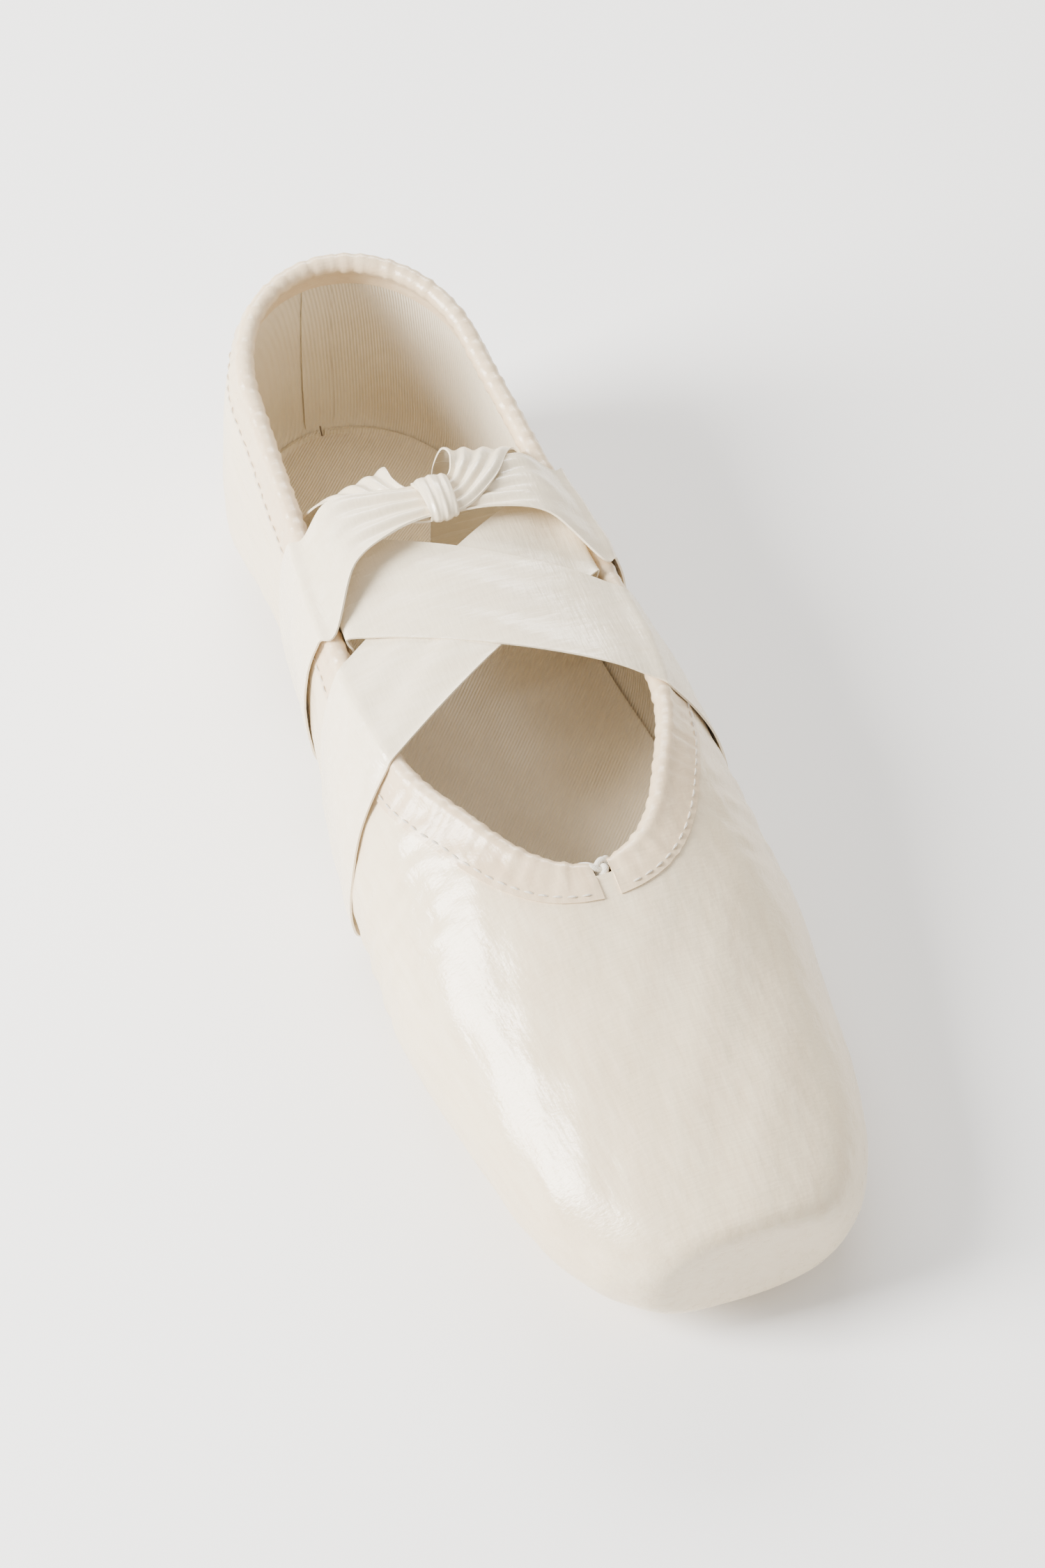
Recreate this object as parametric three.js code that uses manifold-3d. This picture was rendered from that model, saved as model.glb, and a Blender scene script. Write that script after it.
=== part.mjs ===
// A pointe ballet slipper: satin upper over a stiffened toe box, a bent shank under a lined footbed,
// a leather outsole, a drawstring in the topline binding, and two ribbons crossed over the instep and
// tucked inside.
// Millimetres, +Z up, toe towards -Y. The origin is on the floor, under the middle of the slipper.
import * as THREE from "three";
import { mergeVertices } from "three/addons/utils/BufferGeometryUtils.js";
import Module from "manifold-3d";

// ---- Driving dimensions ----
const LENGTH = 235; // platform face to the back of the heel strip
const BALL_WIDTH = 79; // widest part of the upper
const VAMP_LENGTH = 70; // platform face to the front of the throat
const PLATFORM_HEIGHT = 22.8; // of the flat toe face
const HEEL_ROUND = 32.5; // length of the round back of the heel
const ARCH_RISE = 10.6; // of the outsole's waist above the floor
const CLEARANCE = 0.3; // between pieces that touch in the real slipper
const LAYER_GAP = 0.45; // between curved layers of cloth
const SATIN = 0.7; // upper cloth, folded at its edges
const BOX_WALL = 2.5; // both plies of the toe box together, at the toe
const WING_WALL = 0.6; // the same, where the wings end
const PLATFORM_BLOCK = 4; // hardened plug behind the platform
const LINING = 0.5;
const TAPE = 0.3; // seam tapes
const STRIP = 0.6; // satin strip over the heel seam
const OUTSOLE = 1.9;
const SHANK = 1.8;
const HALF_SHANK = 1.2; // and the filler in front of it
const INSOLE = 1.0;
const SOCK = 0.8;
const CORD_RADIUS = 0.8;
const CORD_KNOT = 2.125 * CORD_RADIUS; // radius of the knot in its two ends
const CASING_WALL = 0.8;
const CASING_GAP = 6; // left open at the throat for the drawstring
const TACK_RADIUS = 0.7;
const TACK_HEAD_RADIUS = 1.7;
const TACK_HEAD = 0.5;
const RIBBON_WIDTH = 22;
const RIBBON = 0.5;
const RIBBON_STAND = 1.6; // from the cloth to the middle of a ribbon wrapped over it
const RIBBON_Y = 18; // where the ribbons cross
const RIBBON_TURN = 29; // degrees that each ribbon runs aslant of the slipper's width
const RIBBON_ARCH = 5; // that the ribbons rise over the opening
const KNOT_WIDTH = 9; // of a ribbon gathered in the knot
const KNOT_BAND = 1.1; // thickness of the turn round the knot

const QUARTER_TURN = Math.PI / 2;
const degrees = THREE.MathUtils.degToRad;
const wasm = await Module();
wasm.setup();

// ---- Shape of the last ----
const TOE_Y = -LENGTH / 2;
const HEEL_Y = LENGTH / 2 - STRIP - CLEARANCE; // back of the satin
const LAST = HEEL_Y - TOE_Y;
const FAN_Y = HEEL_Y - HEEL_ROUND; // sections turn about this place to make the round heel
const THROAT = VAMP_LENGTH / LAST; // places along the last run from 0 at the platform to 1 at the heel
const SEAM = 0.51; // side seam between vamp and quarter
const SEAM_SLANT = 0.018; // it runs back by this share from its middle to its ends
const UPPER_LIFT = OUTSOLE + LAYER_GAP + CLEARANCE / 2;

// A smooth curve through [place, value] pairs that never overshoots them.
function through(pairs) {
  const n = pairs.length;
  const rise = pairs.slice(1).map(([x, v], i) => (v - pairs[i][1]) / (x - pairs[i][0]));
  const slope = pairs.map((_, i) => {
    if (i === 0 || i === n - 1) return rise[Math.min(i, n - 2)];
    const [a, b] = [rise[i - 1], rise[i]];
    return a * b <= 0 ? 0 : (2 * a * b) / (a + b);
  });
  return (x) => {
    let i = 0;
    while (i < n - 2 && x > pairs[i + 1][0]) i++;
    const width = pairs[i + 1][0] - pairs[i][0];
    const t = THREE.MathUtils.clamp((x - pairs[i][0]) / width, 0, 1);
    const [t2, t3] = [t * t, t * t * t];
    return (
      (2 * t3 - 3 * t2 + 1) * pairs[i][1] +
      (t3 - 2 * t2 + t) * width * slope[i] +
      (3 * t2 - 2 * t3) * pairs[i + 1][1] +
      (t3 - t2) * width * slope[i + 1]
    );
  };
}

const widthShare = through([
  [0, 0.234], [0.03, 0.323], [0.087, 0.405], [0.2, 0.466], [0.31, 0.5],
  [0.44, 0.481], [0.585, 0.418], [0.734, 0.367], [0.862, 0.36], [1, 0.36],
]);
const halfWidth = (u) => BALL_WIDTH * widthShare(u);
const archShare = through([
  [0, 0.28], [0.07, 0.085], [0.14, 0], [0.33, 0], [0.44, 0.25],
  [0.56, 0.72], [0.67, 1], [0.76, 0.8], [0.86, 0.2], [0.93, 0], [1, 0],
]);
const floorAt = (u) => ARCH_RISE * archShare(u); // underside of the outsole
const toeBottom = floorAt(0) + UPPER_LIFT;
const crown = through([
  [0, toeBottom + PLATFORM_HEIGHT], [0.03, toeBottom + PLATFORM_HEIGHT + 2.2], [0.1, 34.5],
  [0.2, 39.8], [0.306, 47.3], [0.42, 55], [0.55, 65], [0.68, 77], [0.862, 87], [1, 89],
]);
// The height above the outsole's underside at which the last is widest.
const widest = through([[0, 13.6], [0.1, 15], [0.31, 16], [0.6, 17], [1, 18]]);
const upperPower = through([[0, 2.4], [0.1, 2.3], [0.31, 2.15], [1, 2.2]]);
const lowerPower = through([[0, 2.4], [0.1, 2.9], [0.31, 3.6], [1, 3.8]]);
const topline = through([
  [THROAT, crown(THROAT)], [0.37, 47], [0.455, 45.6], [0.545, 45.5],
  [0.67, 47.5], [0.8, 51], [0.92, 56], [1, 58.5],
]);

function section(u, depth) {
  const y = TOE_Y + u * LAST;
  const round = THREE.MathUtils.clamp((y - FAN_Y) / HEEL_ROUND, 0, 1);
  const middle = floorAt(u) + widest(u);
  return {
    side: (halfWidth(u) - depth) * Math.sqrt(1 - round * round),
    back: (HEEL_ROUND - depth) * round,
    y: Math.min(y, FAN_Y),
    middle,
    up: crown(u) - middle - depth,
    down: middle - floorAt(u) - UPPER_LIFT - depth,
    upper: 2 / upperPower(u),
    lower: 2 / lowerPower(u),
  };
}

// A point of the last: angle -90 degrees is under it, 0 at its widest and 90 on its crown. depth is
// measured inwards from the satin's face, and face inwards from the platform.
function lastPoint(u, angle, depth, side = 1, face = depth) {
  const shift = (face / LAST) * Math.max(0, 1 - u / THROAT);
  const s = section(u + shift, depth);
  const power = angle < 0 ? s.lower : s.upper;
  const out = Math.max(0, Math.cos(angle)) ** power;
  const high = Math.abs(Math.sin(angle)) ** power;
  return new THREE.Vector3(
    side * s.side * out,
    s.y + s.back * out,
    s.middle + (angle < 0 ? -s.down : s.up) * high,
  );
}

// The angle at which the last's section reaches the topline.
function topAngle(u) {
  if (u <= THROAT) return QUARTER_TURN;
  const s = section(u, 0);
  const share = THREE.MathUtils.clamp((topline(u) - s.middle) / s.up, 0, 1);
  return Math.asin(share ** (1 / s.upper));
}

// ---- Layers, as depths below the satin's face ----
const boxWall = through([
  [0, BOX_WALL], [0.67 * THROAT, BOX_WALL], [THROAT, (BOX_WALL + WING_WALL) / 3], [0.42, WING_WALL],
  [0.5, WING_WALL],
]);
const plyWall = (u) => boxWall(u) / 2;
const CANVAS_DEPTH = SATIN + LAYER_GAP;
const canvasInner = (u) => CANVAS_DEPTH + plyWall(u);
const burlapOuter = (u) => canvasInner(u) + LAYER_GAP;
const burlapInner = (u) => burlapOuter(u) + plyWall(u);
const BURLAP_END = 0.9 * THROAT;
const burlapShare = through([[0, 1], [BURLAP_END, 1], [1.1 * THROAT, 0], [1, 0]]);
const liningOuter = (u) => burlapOuter(u) + burlapShare(u) * (plyWall(u) + LAYER_GAP);
const liningInner = (u) => liningOuter(u) + LINING;
const BLOCK_FACE = CANVAS_DEPTH + BOX_WALL / 2 + CLEARANCE;
const BURLAP_FACE = BLOCK_FACE + PLATFORM_BLOCK + CLEARANCE;
const LINING_FACE = BURLAP_FACE + BOX_WALL / 2 + CLEARANCE;
const WALL_EDGE = degrees(-45); // where the box and lining stop beside the footbed
const SATIN_EDGE = degrees(-75); // where the satin's margin stops under the outsole
const UNDERTOE = 0.15 * THROAT; // the toe box is closed underneath up to here
const SATIN_UNDERTOE = 0.435 * THROAT; // and its satin up to here, under the outsole's tip

// ---- Solids ----
function solid(corners) {
  const kept = [];
  for (let i = 0; i < corners.length; i += 3) {
    const [a, b, c] = corners.slice(i, i + 3);
    const tiny = 1e-4;
    if (a.distanceTo(b) > tiny && b.distanceTo(c) > tiny && c.distanceTo(a) > tiny) kept.push(a, b, c);
  }
  let volume = 0;
  for (let i = 0; i < kept.length; i += 3) {
    volume += kept[i].dot(new THREE.Vector3().crossVectors(kept[i + 1], kept[i + 2]));
  }
  if (volume < 0) kept.reverse();
  return new THREE.BufferGeometry().setFromPoints(kept);
}

const quad = (a, b, c, d) => [a, b, c, a, c, d];

// The closed solid between two grids of points, top(s, t) and bottom(s, t) with s and t from 0 to 1.
function slab(rows, columns, top, bottom) {
  const grid = (f) => rows.map((s) => columns.map((t) => f(s, t)));
  const [p, q] = [grid(top), grid(bottom)];
  const [m, n] = [rows.length - 1, columns.length - 1];
  const corners = [];
  for (let i = 0; i < m; i++) {
    for (let j = 0; j < n; j++) {
      corners.push(...quad(p[i][j], p[i + 1][j], p[i + 1][j + 1], p[i][j + 1]));
      corners.push(...quad(q[i][j], q[i][j + 1], q[i + 1][j + 1], q[i + 1][j]));
    }
    corners.push(...quad(p[i][0], q[i][0], q[i + 1][0], p[i + 1][0]));
    corners.push(...quad(p[i][n], p[i + 1][n], q[i + 1][n], q[i][n]));
  }
  for (let j = 0; j < n; j++) {
    corners.push(...quad(p[0][j], p[0][j + 1], q[0][j + 1], q[0][j]));
    corners.push(...quad(p[m][j], q[m][j], q[m][j + 1], p[m][j + 1]));
  }
  return solid(corners);
}

const steps = (n) => Array.from({ length: n + 1 }, (_, i) => i / n);

// Every layer of the upper has its corners at the same angles, held between its own two edges.
const ANGLES = steps(10).map((t) => (2 * t - 1) * QUARTER_TURN);
const held = (angle, low, high) => Math.min(Math.max(angle, low), high);

// A closed layer of the toe: both sides of the last, from the middle of the platform back to the last
// row. Each row is { u, shrink, lean }; low and high give the angles of its edges, and outer and inner
// its depths.
function toeLayer({ rows, low, high, outer, inner, outerFace, innerFace }) {
  const place = (row, column, depth, face, side) => {
    const angle = held(column, low(row.u), high(row.u));
    const u = row.u + (row.lean ?? 0) * SEAM_SLANT * Math.sin(angle) ** 2;
    const point = lastPoint(u, Math.min(angle, topAngle(u)), depth(u), side, face);
    const middle = new THREE.Vector3(0, point.y, section(0, 0).middle);
    return row.shrink === undefined ? point : middle.lerp(point, row.shrink);
  };
  const corners = [];
  for (const side of [1, -1]) {
    const line = (row, depth, face) => ANGLES.map((angle) => place(row, angle, depth, face, side));
    const grid = (depth, face) => rows.map((row) => line(row, depth, face));
    const [p, q] = [grid(outer, outerFace), grid(inner, innerFace)];
    const n = ANGLES.length - 1;
    const faces = [];
    for (let i = 0; i < rows.length - 1; i++) {
      for (let j = 0; j < n; j++) {
        faces.push(quad(p[i][j], p[i + 1][j], p[i + 1][j + 1], p[i][j + 1]));
        faces.push(quad(q[i][j], q[i][j + 1], q[i + 1][j + 1], q[i + 1][j]));
      }
      const next = rows[i + 1].u;
      if (low(next) > -QUARTER_TURN) faces.push(quad(p[i][0], q[i][0], q[i + 1][0], p[i + 1][0]));
      if (high(next) < QUARTER_TURN) faces.push(quad(p[i][n], p[i + 1][n], q[i + 1][n], q[i][n]));
    }
    const last = rows.length - 1;
    for (let j = 0; j < n; j++) {
      faces.push(quad(p[last][j], q[last][j], q[last][j + 1], p[last][j + 1]));
    }
    for (const face of faces) corners.push(...(side > 0 ? face : [...face].reverse()));
  }
  return solid(corners);
}

// A plate of the sole from place start to end, with round ends, between two heights above the outsole's
// underside.
function plate({ start, end, frontRound, backRound, half, low, high, across = 2 }) {
  const span = (end - start) * LAST;
  const rounds = 4;
  const arc = steps(rounds).map((t) => 1 - Math.cos(t * QUARTER_TURN));
  const front = arc.map((t) => (t * frontRound) / span);
  const back = arc.map((t) => 1 - (t * backRound) / span).reverse();
  const middle = steps(18).slice(1, -1).map((t) => THREE.MathUtils.lerp(front[rounds], back[0], t));
  const width = (s) => {
    const toFront = Math.max(0, 1 - (s * span) / frontRound);
    const toBack = Math.max(0, 1 - ((1 - s) * span) / backRound);
    const u = THREE.MathUtils.lerp(start, end, s);
    return half(u) * Math.sqrt(Math.max(0, 1 - toFront * toFront - toBack * toBack));
  };
  const surface = (level) => (s, t) => {
    const u = THREE.MathUtils.lerp(start, end, s);
    return new THREE.Vector3(width(s) * (2 * t - 1), TOE_Y + u * LAST, floorAt(u) + level);
  };
  return slab([...front, ...middle, ...back], steps(across), surface(high), surface(low));
}

// Cuts the tools out of a geometry.
function cut(geometry, ...tools) {
  const manifold = (g) => {
    const bare = g.index ? g.toNonIndexed() : g.clone();
    for (const name of ["normal", "uv"]) bare.deleteAttribute(name);
    const merged = mergeVertices(bare, 1e-3);
    const vertProperties = merged.attributes.position.array;
    const triVerts = new Uint32Array(merged.index.array);
    return new wasm.Manifold(new wasm.Mesh({ numProp: 3, vertProperties, triVerts }));
  };
  const made = tools.reduce((left, tool) => left.subtract(manifold(tool)), manifold(geometry)).getMesh();
  return new THREE.BufferGeometry()
    .setAttribute("position", new THREE.BufferAttribute(made.vertProperties, 3))
    .setIndex(new THREE.BufferAttribute(made.triVerts, 1));
}

// ---- Materials ----
const cloth = (color, roughness) => new THREE.MeshStandardMaterial({ color, roughness, metalness: 0 });
const satin = cloth(0xe9e2d5, 0.42);
const ribbonSatin = cloth(0xece5d8, 0.38);
const cotton = cloth(0xe6dcc8, 0.9);
const canvas = cloth(0xd8c9ab, 0.95);
const board = cloth(0xa98a66, 0.85);
const leather = cloth(0xcdb79a, 0.8);
const brass = new THREE.MeshStandardMaterial({ color: 0xb08d57, roughness: 0.35, metalness: 1 });

const slipper = new THREE.Group();
function add(name, geometry, material) {
  const mesh = new THREE.Mesh(geometry, material);
  mesh.name = name;
  slipper.add(mesh);
}

// ---- Places along the last ----
const placeOf = (y) => (y - TOE_Y) / LAST;
const FAN = placeOf(FAN_Y);
const fanPlaces = (n) => steps(n).map((t) => placeOf(FAN_Y + HEEL_ROUND * Math.sin(t * QUARTER_TURN)));
const between = (a, b, n) => steps(n).map((t) => THREE.MathUtils.lerp(a, b, t));
const toRows = (places) => places.map((u) => ({ u }));
const toeShares = [0, 0.04, 0.1, 0.15, 0.217, 0.3, 0.435, 0.6, 0.77, 0.9];
const toePlaces = toeShares.map((share) => share * THROAT);
const throatPlaces = steps(9).map((t) => THROAT + (SEAM - THROAT) * t * t);
const face = [{ u: 0, shrink: 0 }, { u: 0, shrink: 0.55 }];

// ---- Toe: satin vamp, two plies, platform block and lining ----
const vampRows = [
  ...face,
  ...toRows([...toePlaces, THROAT]),
  ...throatPlaces.slice(1).map((u, i, all) => ({ u, lean: Math.max(0, (i - 4) / (all.length - 5)) })),
];
const closing = (edge, from) => (u) => {
  const t = THREE.MathUtils.clamp((u - from) / 0.04, 0, 1);
  return THREE.MathUtils.lerp(-QUARTER_TURN, edge, t);
};

add("vamp_satin", toeLayer({
  rows: vampRows, low: closing(SATIN_EDGE, SATIN_UNDERTOE), high: topAngle,
  outer: () => 0, inner: () => SATIN, outerFace: 0, innerFace: SATIN,
}), satin);
add("vamp_lining", toeLayer({
  rows: vampRows, low: closing(WALL_EDGE, UNDERTOE), high: topAngle,
  outer: liningOuter, inner: liningInner, outerFace: LINING_FACE, innerFace: LINING_FACE + LINING,
}), cotton);

// The canvas ply ends in two wings, whose top edges run from the throat down to the sides.
const WING_TIP = 7; // row of the throat's places
const wingTop = (u) => {
  const t = (u - THROAT) / (throatPlaces[WING_TIP] - THROAT);
  return t <= 0 ? QUARTER_TURN : THREE.MathUtils.lerp(topAngle(u), degrees(12), t);
};
add("box_canvas_ply", toeLayer({
  rows: [...face, ...toRows([...toePlaces, ...throatPlaces.slice(0, WING_TIP + 1)])],
  low: closing(WALL_EDGE, UNDERTOE), high: wingTop,
  outer: () => CANVAS_DEPTH, inner: canvasInner,
  outerFace: CANVAS_DEPTH, innerFace: CANVAS_DEPTH + BOX_WALL / 2,
}), canvas);
add("box_burlap_ply", toeLayer({
  rows: [...face, ...toRows(toePlaces)],
  low: closing(WALL_EDGE, UNDERTOE), high: () => QUARTER_TURN,
  outer: burlapOuter, inner: burlapInner, outerFace: BURLAP_FACE, innerFace: BURLAP_FACE + BOX_WALL / 2,
}), canvas);

// The platform block fills the tip between the plies.
function platformBlock() {
  const up = ANGLES.map((angle) => [angle, 1]);
  const down = ANGLES.map((angle) => [angle, -1]).reverse();
  const rim = (blockFace) => ([angle, side], t) => {
    const point = lastPoint(0, angle, BLOCK_FACE + CLEARANCE, side, blockFace);
    return new THREE.Vector3(0, point.y, section(0, 0).middle).lerp(point, t);
  };
  return slab([...up, ...down], [0, 1], rim(BLOCK_FACE), rim(BLOCK_FACE + PLATFORM_BLOCK));
}
add("platform_block", platformBlock(), canvas);

// ---- Quarters: satin and lining from the side seam to the heel seam ----
const quarterPlaces = [...between(SEAM, FAN, 8).slice(0, -1), ...fanPlaces(8)];

function quarterLayer(side, edge, outer, inner) {
  const at = (depth) => (place, column) => {
    const angle = held(column, edge, topAngle(place));
    const near = Math.max(0, 1 - (place - SEAM) / 0.12);
    const u = place + near * (SEAM_SLANT * Math.sin(angle) ** 2 + CLEARANCE / LAST);
    const point = lastPoint(u, Math.min(angle, topAngle(u)), depth(u), side, 0);
    point.x += (side * CLEARANCE) / 2;
    return point;
  };
  return slab(quarterPlaces, ANGLES, at(outer), at(inner));
}
for (const [name, side] of [["right", 1], ["left", -1]]) {
  add(`quarter_satin_${name}`, quarterLayer(side, SATIN_EDGE, () => 0, () => SATIN), satin);
  add(`quarter_lining_${name}`, quarterLayer(side, WALL_EDGE, liningOuter, liningInner), cotton);
}

// A band that lies over a seam, stopping clear of the layers' edges.
function seamTape(side, u, half) {
  const at = (depth) => (s, column) => {
    const angle = held(column, degrees(-40), topAngle(u) - degrees(4));
    const place = u + SEAM_SLANT * Math.sin(angle) ** 2 + ((2 * s - 1) * half) / LAST;
    return lastPoint(place, Math.min(angle, topAngle(place) - degrees(2)), depth, side, 0);
  };
  return slab([0, 1], ANGLES, at(CANVAS_DEPTH), at(CANVAS_DEPTH + TAPE));
}
add("side_seam_tape_right", seamTape(1, SEAM, 5), cotton);
add("side_seam_tape_left", seamTape(-1, SEAM, 5), cotton);

// A layer round the back of the heel, reaching the same angle on both sides.
function heelLayer(reach, low, high, outer, inner, n) {
  const at = (depth) => (s, column) => {
    const turn = (2 * s - 1) * reach;
    const u = placeOf(FAN_Y + HEEL_ROUND * Math.cos(turn));
    return lastPoint(u, held(column, low, high(u)), depth, Math.sign(turn) || 1, 0);
  };
  return slab(steps(n), ANGLES, at(outer), at(inner));
}
const HEEL_STRIP_REACH = degrees(9);
add("heel_strip", heelLayer(
  HEEL_STRIP_REACH, degrees(-40), (u) => topAngle(u) - degrees(1), -CLEARANCE - STRIP, -CLEARANCE, 4,
), satin);
add("heel_counter", heelLayer(
  degrees(63), degrees(-40), () => degrees(28), CANVAS_DEPTH, CANVAS_DEPTH + TAPE, 14,
), board);

// ---- Sole ----
const OUTSOLE_START = 0.1;
const OUTSOLE_MARGIN = 12; // behind it, up to the back of the heel
const FOOTBED_MARGIN = 13.5; // from the face of the satin to the footbed's edge
const FOOTBED_START = 0.105;
const SHANK_HALF = 12.5;
const FILLER_LOW = UPPER_LIFT;
const FILLER_HIGH = FILLER_LOW + SATIN + CLEARANCE + HALF_SHANK;
const SHANK_LOW = FILLER_HIGH + CLEARANCE;
const INSOLE_LOW = SHANK_LOW + SHANK + CLEARANCE;
const SOCK_LOW = INSOLE_LOW + INSOLE + CLEARANCE;
const SOCK_TOP = SOCK_LOW + SOCK;
const outsoleHalf = through([
  [0, 14], [0.1, 19], [0.2, 25], [0.31, 27], [0.44, 21], [0.56, 16], [0.7, 15.5], [0.862, 18], [1, 18],
]);
const marginEdge = (u) => lastPoint(Math.min(u, FAN), SATIN_EDGE, SATIN).x - 2 * CLEARANCE;
const fillerHalf = (u) => Math.min(SHANK_HALF, marginEdge(u));
const shankHalf = (u) => Math.min(SHANK_HALF, halfWidth(u) - FOOTBED_MARGIN);
const footbedHalf = (u) => halfWidth(u) - FOOTBED_MARGIN;
const FILLER_END = 0.45;
const FILLER_BACK = FAN + 0.38 * (HEEL_ROUND / LAST);

add("outsole", plate({
  start: OUTSOLE_START, end: placeOf(HEEL_Y - OUTSOLE_MARGIN), frontRound: 17, backRound: 20,
  half: outsoleHalf, low: 0, high: OUTSOLE, across: 4,
}), leather);
add("sole_filler", plate({
  start: 0.2, end: FILLER_END, frontRound: 9, backRound: 2,
  half: fillerHalf, low: FILLER_LOW, high: FILLER_HIGH,
}), canvas);

const tacks = [["tack_left", -5], ["tack_right", 5]].map(([name, x]) => ({ name, x }));
const TACK_Y = FAN_Y + 6;
const tackFloor = floorAt(placeOf(TACK_Y));
function post(x, radius, low, high) {
  const cylinder = new THREE.CylinderGeometry(radius, radius, high - low, 16);
  return cylinder.rotateX(QUARTER_TURN).translate(x, TACK_Y, tackFloor + (low + high) / 2);
}
const holes = (radius) => tacks.map(({ x }) => post(x, radius + CLEARANCE, 0, 2 * SOCK_TOP));
add("half_shank", cut(plate({
  start: FILLER_END + CLEARANCE / LAST, end: FILLER_BACK, frontRound: 2, backRound: 11,
  half: fillerHalf, low: FILLER_LOW, high: FILLER_HIGH,
}), ...holes(TACK_RADIUS)), board);
add("shank", cut(plate({
  start: 0.17, end: placeOf(HEEL_Y - 16), frontRound: 10, backRound: 13,
  half: shankHalf, low: SHANK_LOW, high: SHANK_LOW + SHANK,
}), ...holes(TACK_RADIUS)), board);
add("insole_board", cut(plate({
  start: FOOTBED_START, end: placeOf(HEEL_Y - FOOTBED_MARGIN), frontRound: 18,
  backRound: HEEL_ROUND - FOOTBED_MARGIN, half: footbedHalf, low: INSOLE_LOW, high: INSOLE_LOW + INSOLE,
}), ...holes(TACK_HEAD_RADIUS)), board);
add("sock_liner", plate({
  start: FOOTBED_START, end: placeOf(HEEL_Y - FOOTBED_MARGIN), frontRound: 18,
  backRound: HEEL_ROUND - FOOTBED_MARGIN, half: footbedHalf, low: SOCK_LOW, high: SOCK_TOP,
}), cotton);
for (const { name, x } of tacks) {
  const headLow = INSOLE_LOW + CLEARANCE;
  const head = [
    [0, FILLER_LOW + CLEARANCE], [TACK_RADIUS, FILLER_LOW + CLEARANCE], [TACK_RADIUS, headLow],
    [TACK_HEAD_RADIUS, headLow], [TACK_HEAD_RADIUS, headLow + TACK_HEAD], [0, headLow + TACK_HEAD],
  ].map(([r, z]) => new THREE.Vector2(r, z));
  const tack = new THREE.LatheGeometry(head, 16).rotateX(QUARTER_TURN).translate(x, TACK_Y, tackFloor);
  add(name, tack, brass);
}

// ---- Topline: binding and drawstring ----
const CASING_INNER = CORD_RADIUS + CLEARANCE;
const CASING_OUTER = CASING_INNER + CASING_WALL;
const EDGE_DEPTH = (u) => liningInner(u) / 2;

// The middle of the binding beside a place: it stands on the upper's edge, in line with the cloth.
function bindingMiddle(u, side) {
  const edge = (at) => lastPoint(at, topAngle(at), EDGE_DEPTH(at), side, 0);
  const near = 0.001;
  const atEnd = u <= THROAT + near || u >= 1 - near;
  const along = atEnd ? new THREE.Vector3(0, 0, 0) : edge(u + near).sub(edge(u - near));
  if (atEnd) along.x = u < SEAM ? side : -side;
  const out = lastPoint(u, topAngle(u), EDGE_DEPTH(u) - 2, side, 0).sub(edge(u));
  const rise = new THREE.Vector3().crossVectors(along, out).multiplyScalar(-side).normalize();
  return edge(u).addScaledVector(rise, CASING_OUTER + 1.5 * CLEARANCE);
}
const toplinePlaces = [...throatPlaces, ...quarterPlaces.slice(1)];
const toplineLoop = new THREE.CatmullRomCurve3([
  ...toplinePlaces.map((u) => bindingMiddle(u, 1)),
  ...toplinePlaces.map((u) => bindingMiddle(u, -1)).reverse().slice(1),
], false, "centripetal");

// A length of a curve from one distance to another, as a curve of its own.
function stretch(curve, from, to) {
  const length = curve.getLength();
  const piece = new THREE.Curve();
  piece.getPoint = (t) => curve.getPointAt(THREE.MathUtils.lerp(from, to, t) / length);
  return piece;
}

const LOOP_LENGTH = toplineLoop.getLength();
function ring(outer, inner, sides) {
  const shape = new THREE.Shape().absarc(0, 0, outer, 0, 2 * Math.PI, false);
  if (inner) shape.holes.push(new THREE.Path().absarc(0, 0, inner, 0, 2 * Math.PI, true));
  return { shape, sides };
}
function swept({ shape, sides }, path, count) {
  return new THREE.ExtrudeGeometry(shape, { extrudePath: path, steps: count, curveSegments: sides });
}
const aroundOpening = (gap) => stretch(toplineLoop, gap / 2, LOOP_LENGTH - gap / 2);
const TOPLINE_STEPS = 84;
const CORD_GAP = CASING_GAP - 2; // the cord's ends stand out of the casing
add("topline_binding", swept(
  ring(CASING_OUTER, CASING_INNER, 4), aroundOpening(CASING_GAP), TOPLINE_STEPS,
), satin);
add("drawstring", swept(ring(CORD_RADIUS, 0, 3), aroundOpening(CORD_GAP), TOPLINE_STEPS), cotton);
const throatMiddle = toplineLoop.getPointAt(0);
const cordKnot = new THREE.SphereGeometry(CORD_KNOT, 12, 8);
add("drawstring_knot", cordKnot.translate(...throatMiddle.toArray()), cotton);

// ---- Ribbons ----
const slant = degrees(RIBBON_TURN);

// The point of a line across the last, pointAt(place), that a ribbon's plane passes through.
function onRibbon(start, offset, pointAt) {
  const yOf = (x) => RIBBON_Y + offset / Math.cos(slant) + start * Math.tan(slant) * x;
  let point = pointAt(placeOf(yOf(0)));
  for (let turn = 0; turn < 15; turn++) point = pointAt(placeOf(yOf(point.x)));
  return point.setY(yOf(point.x));
}

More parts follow.
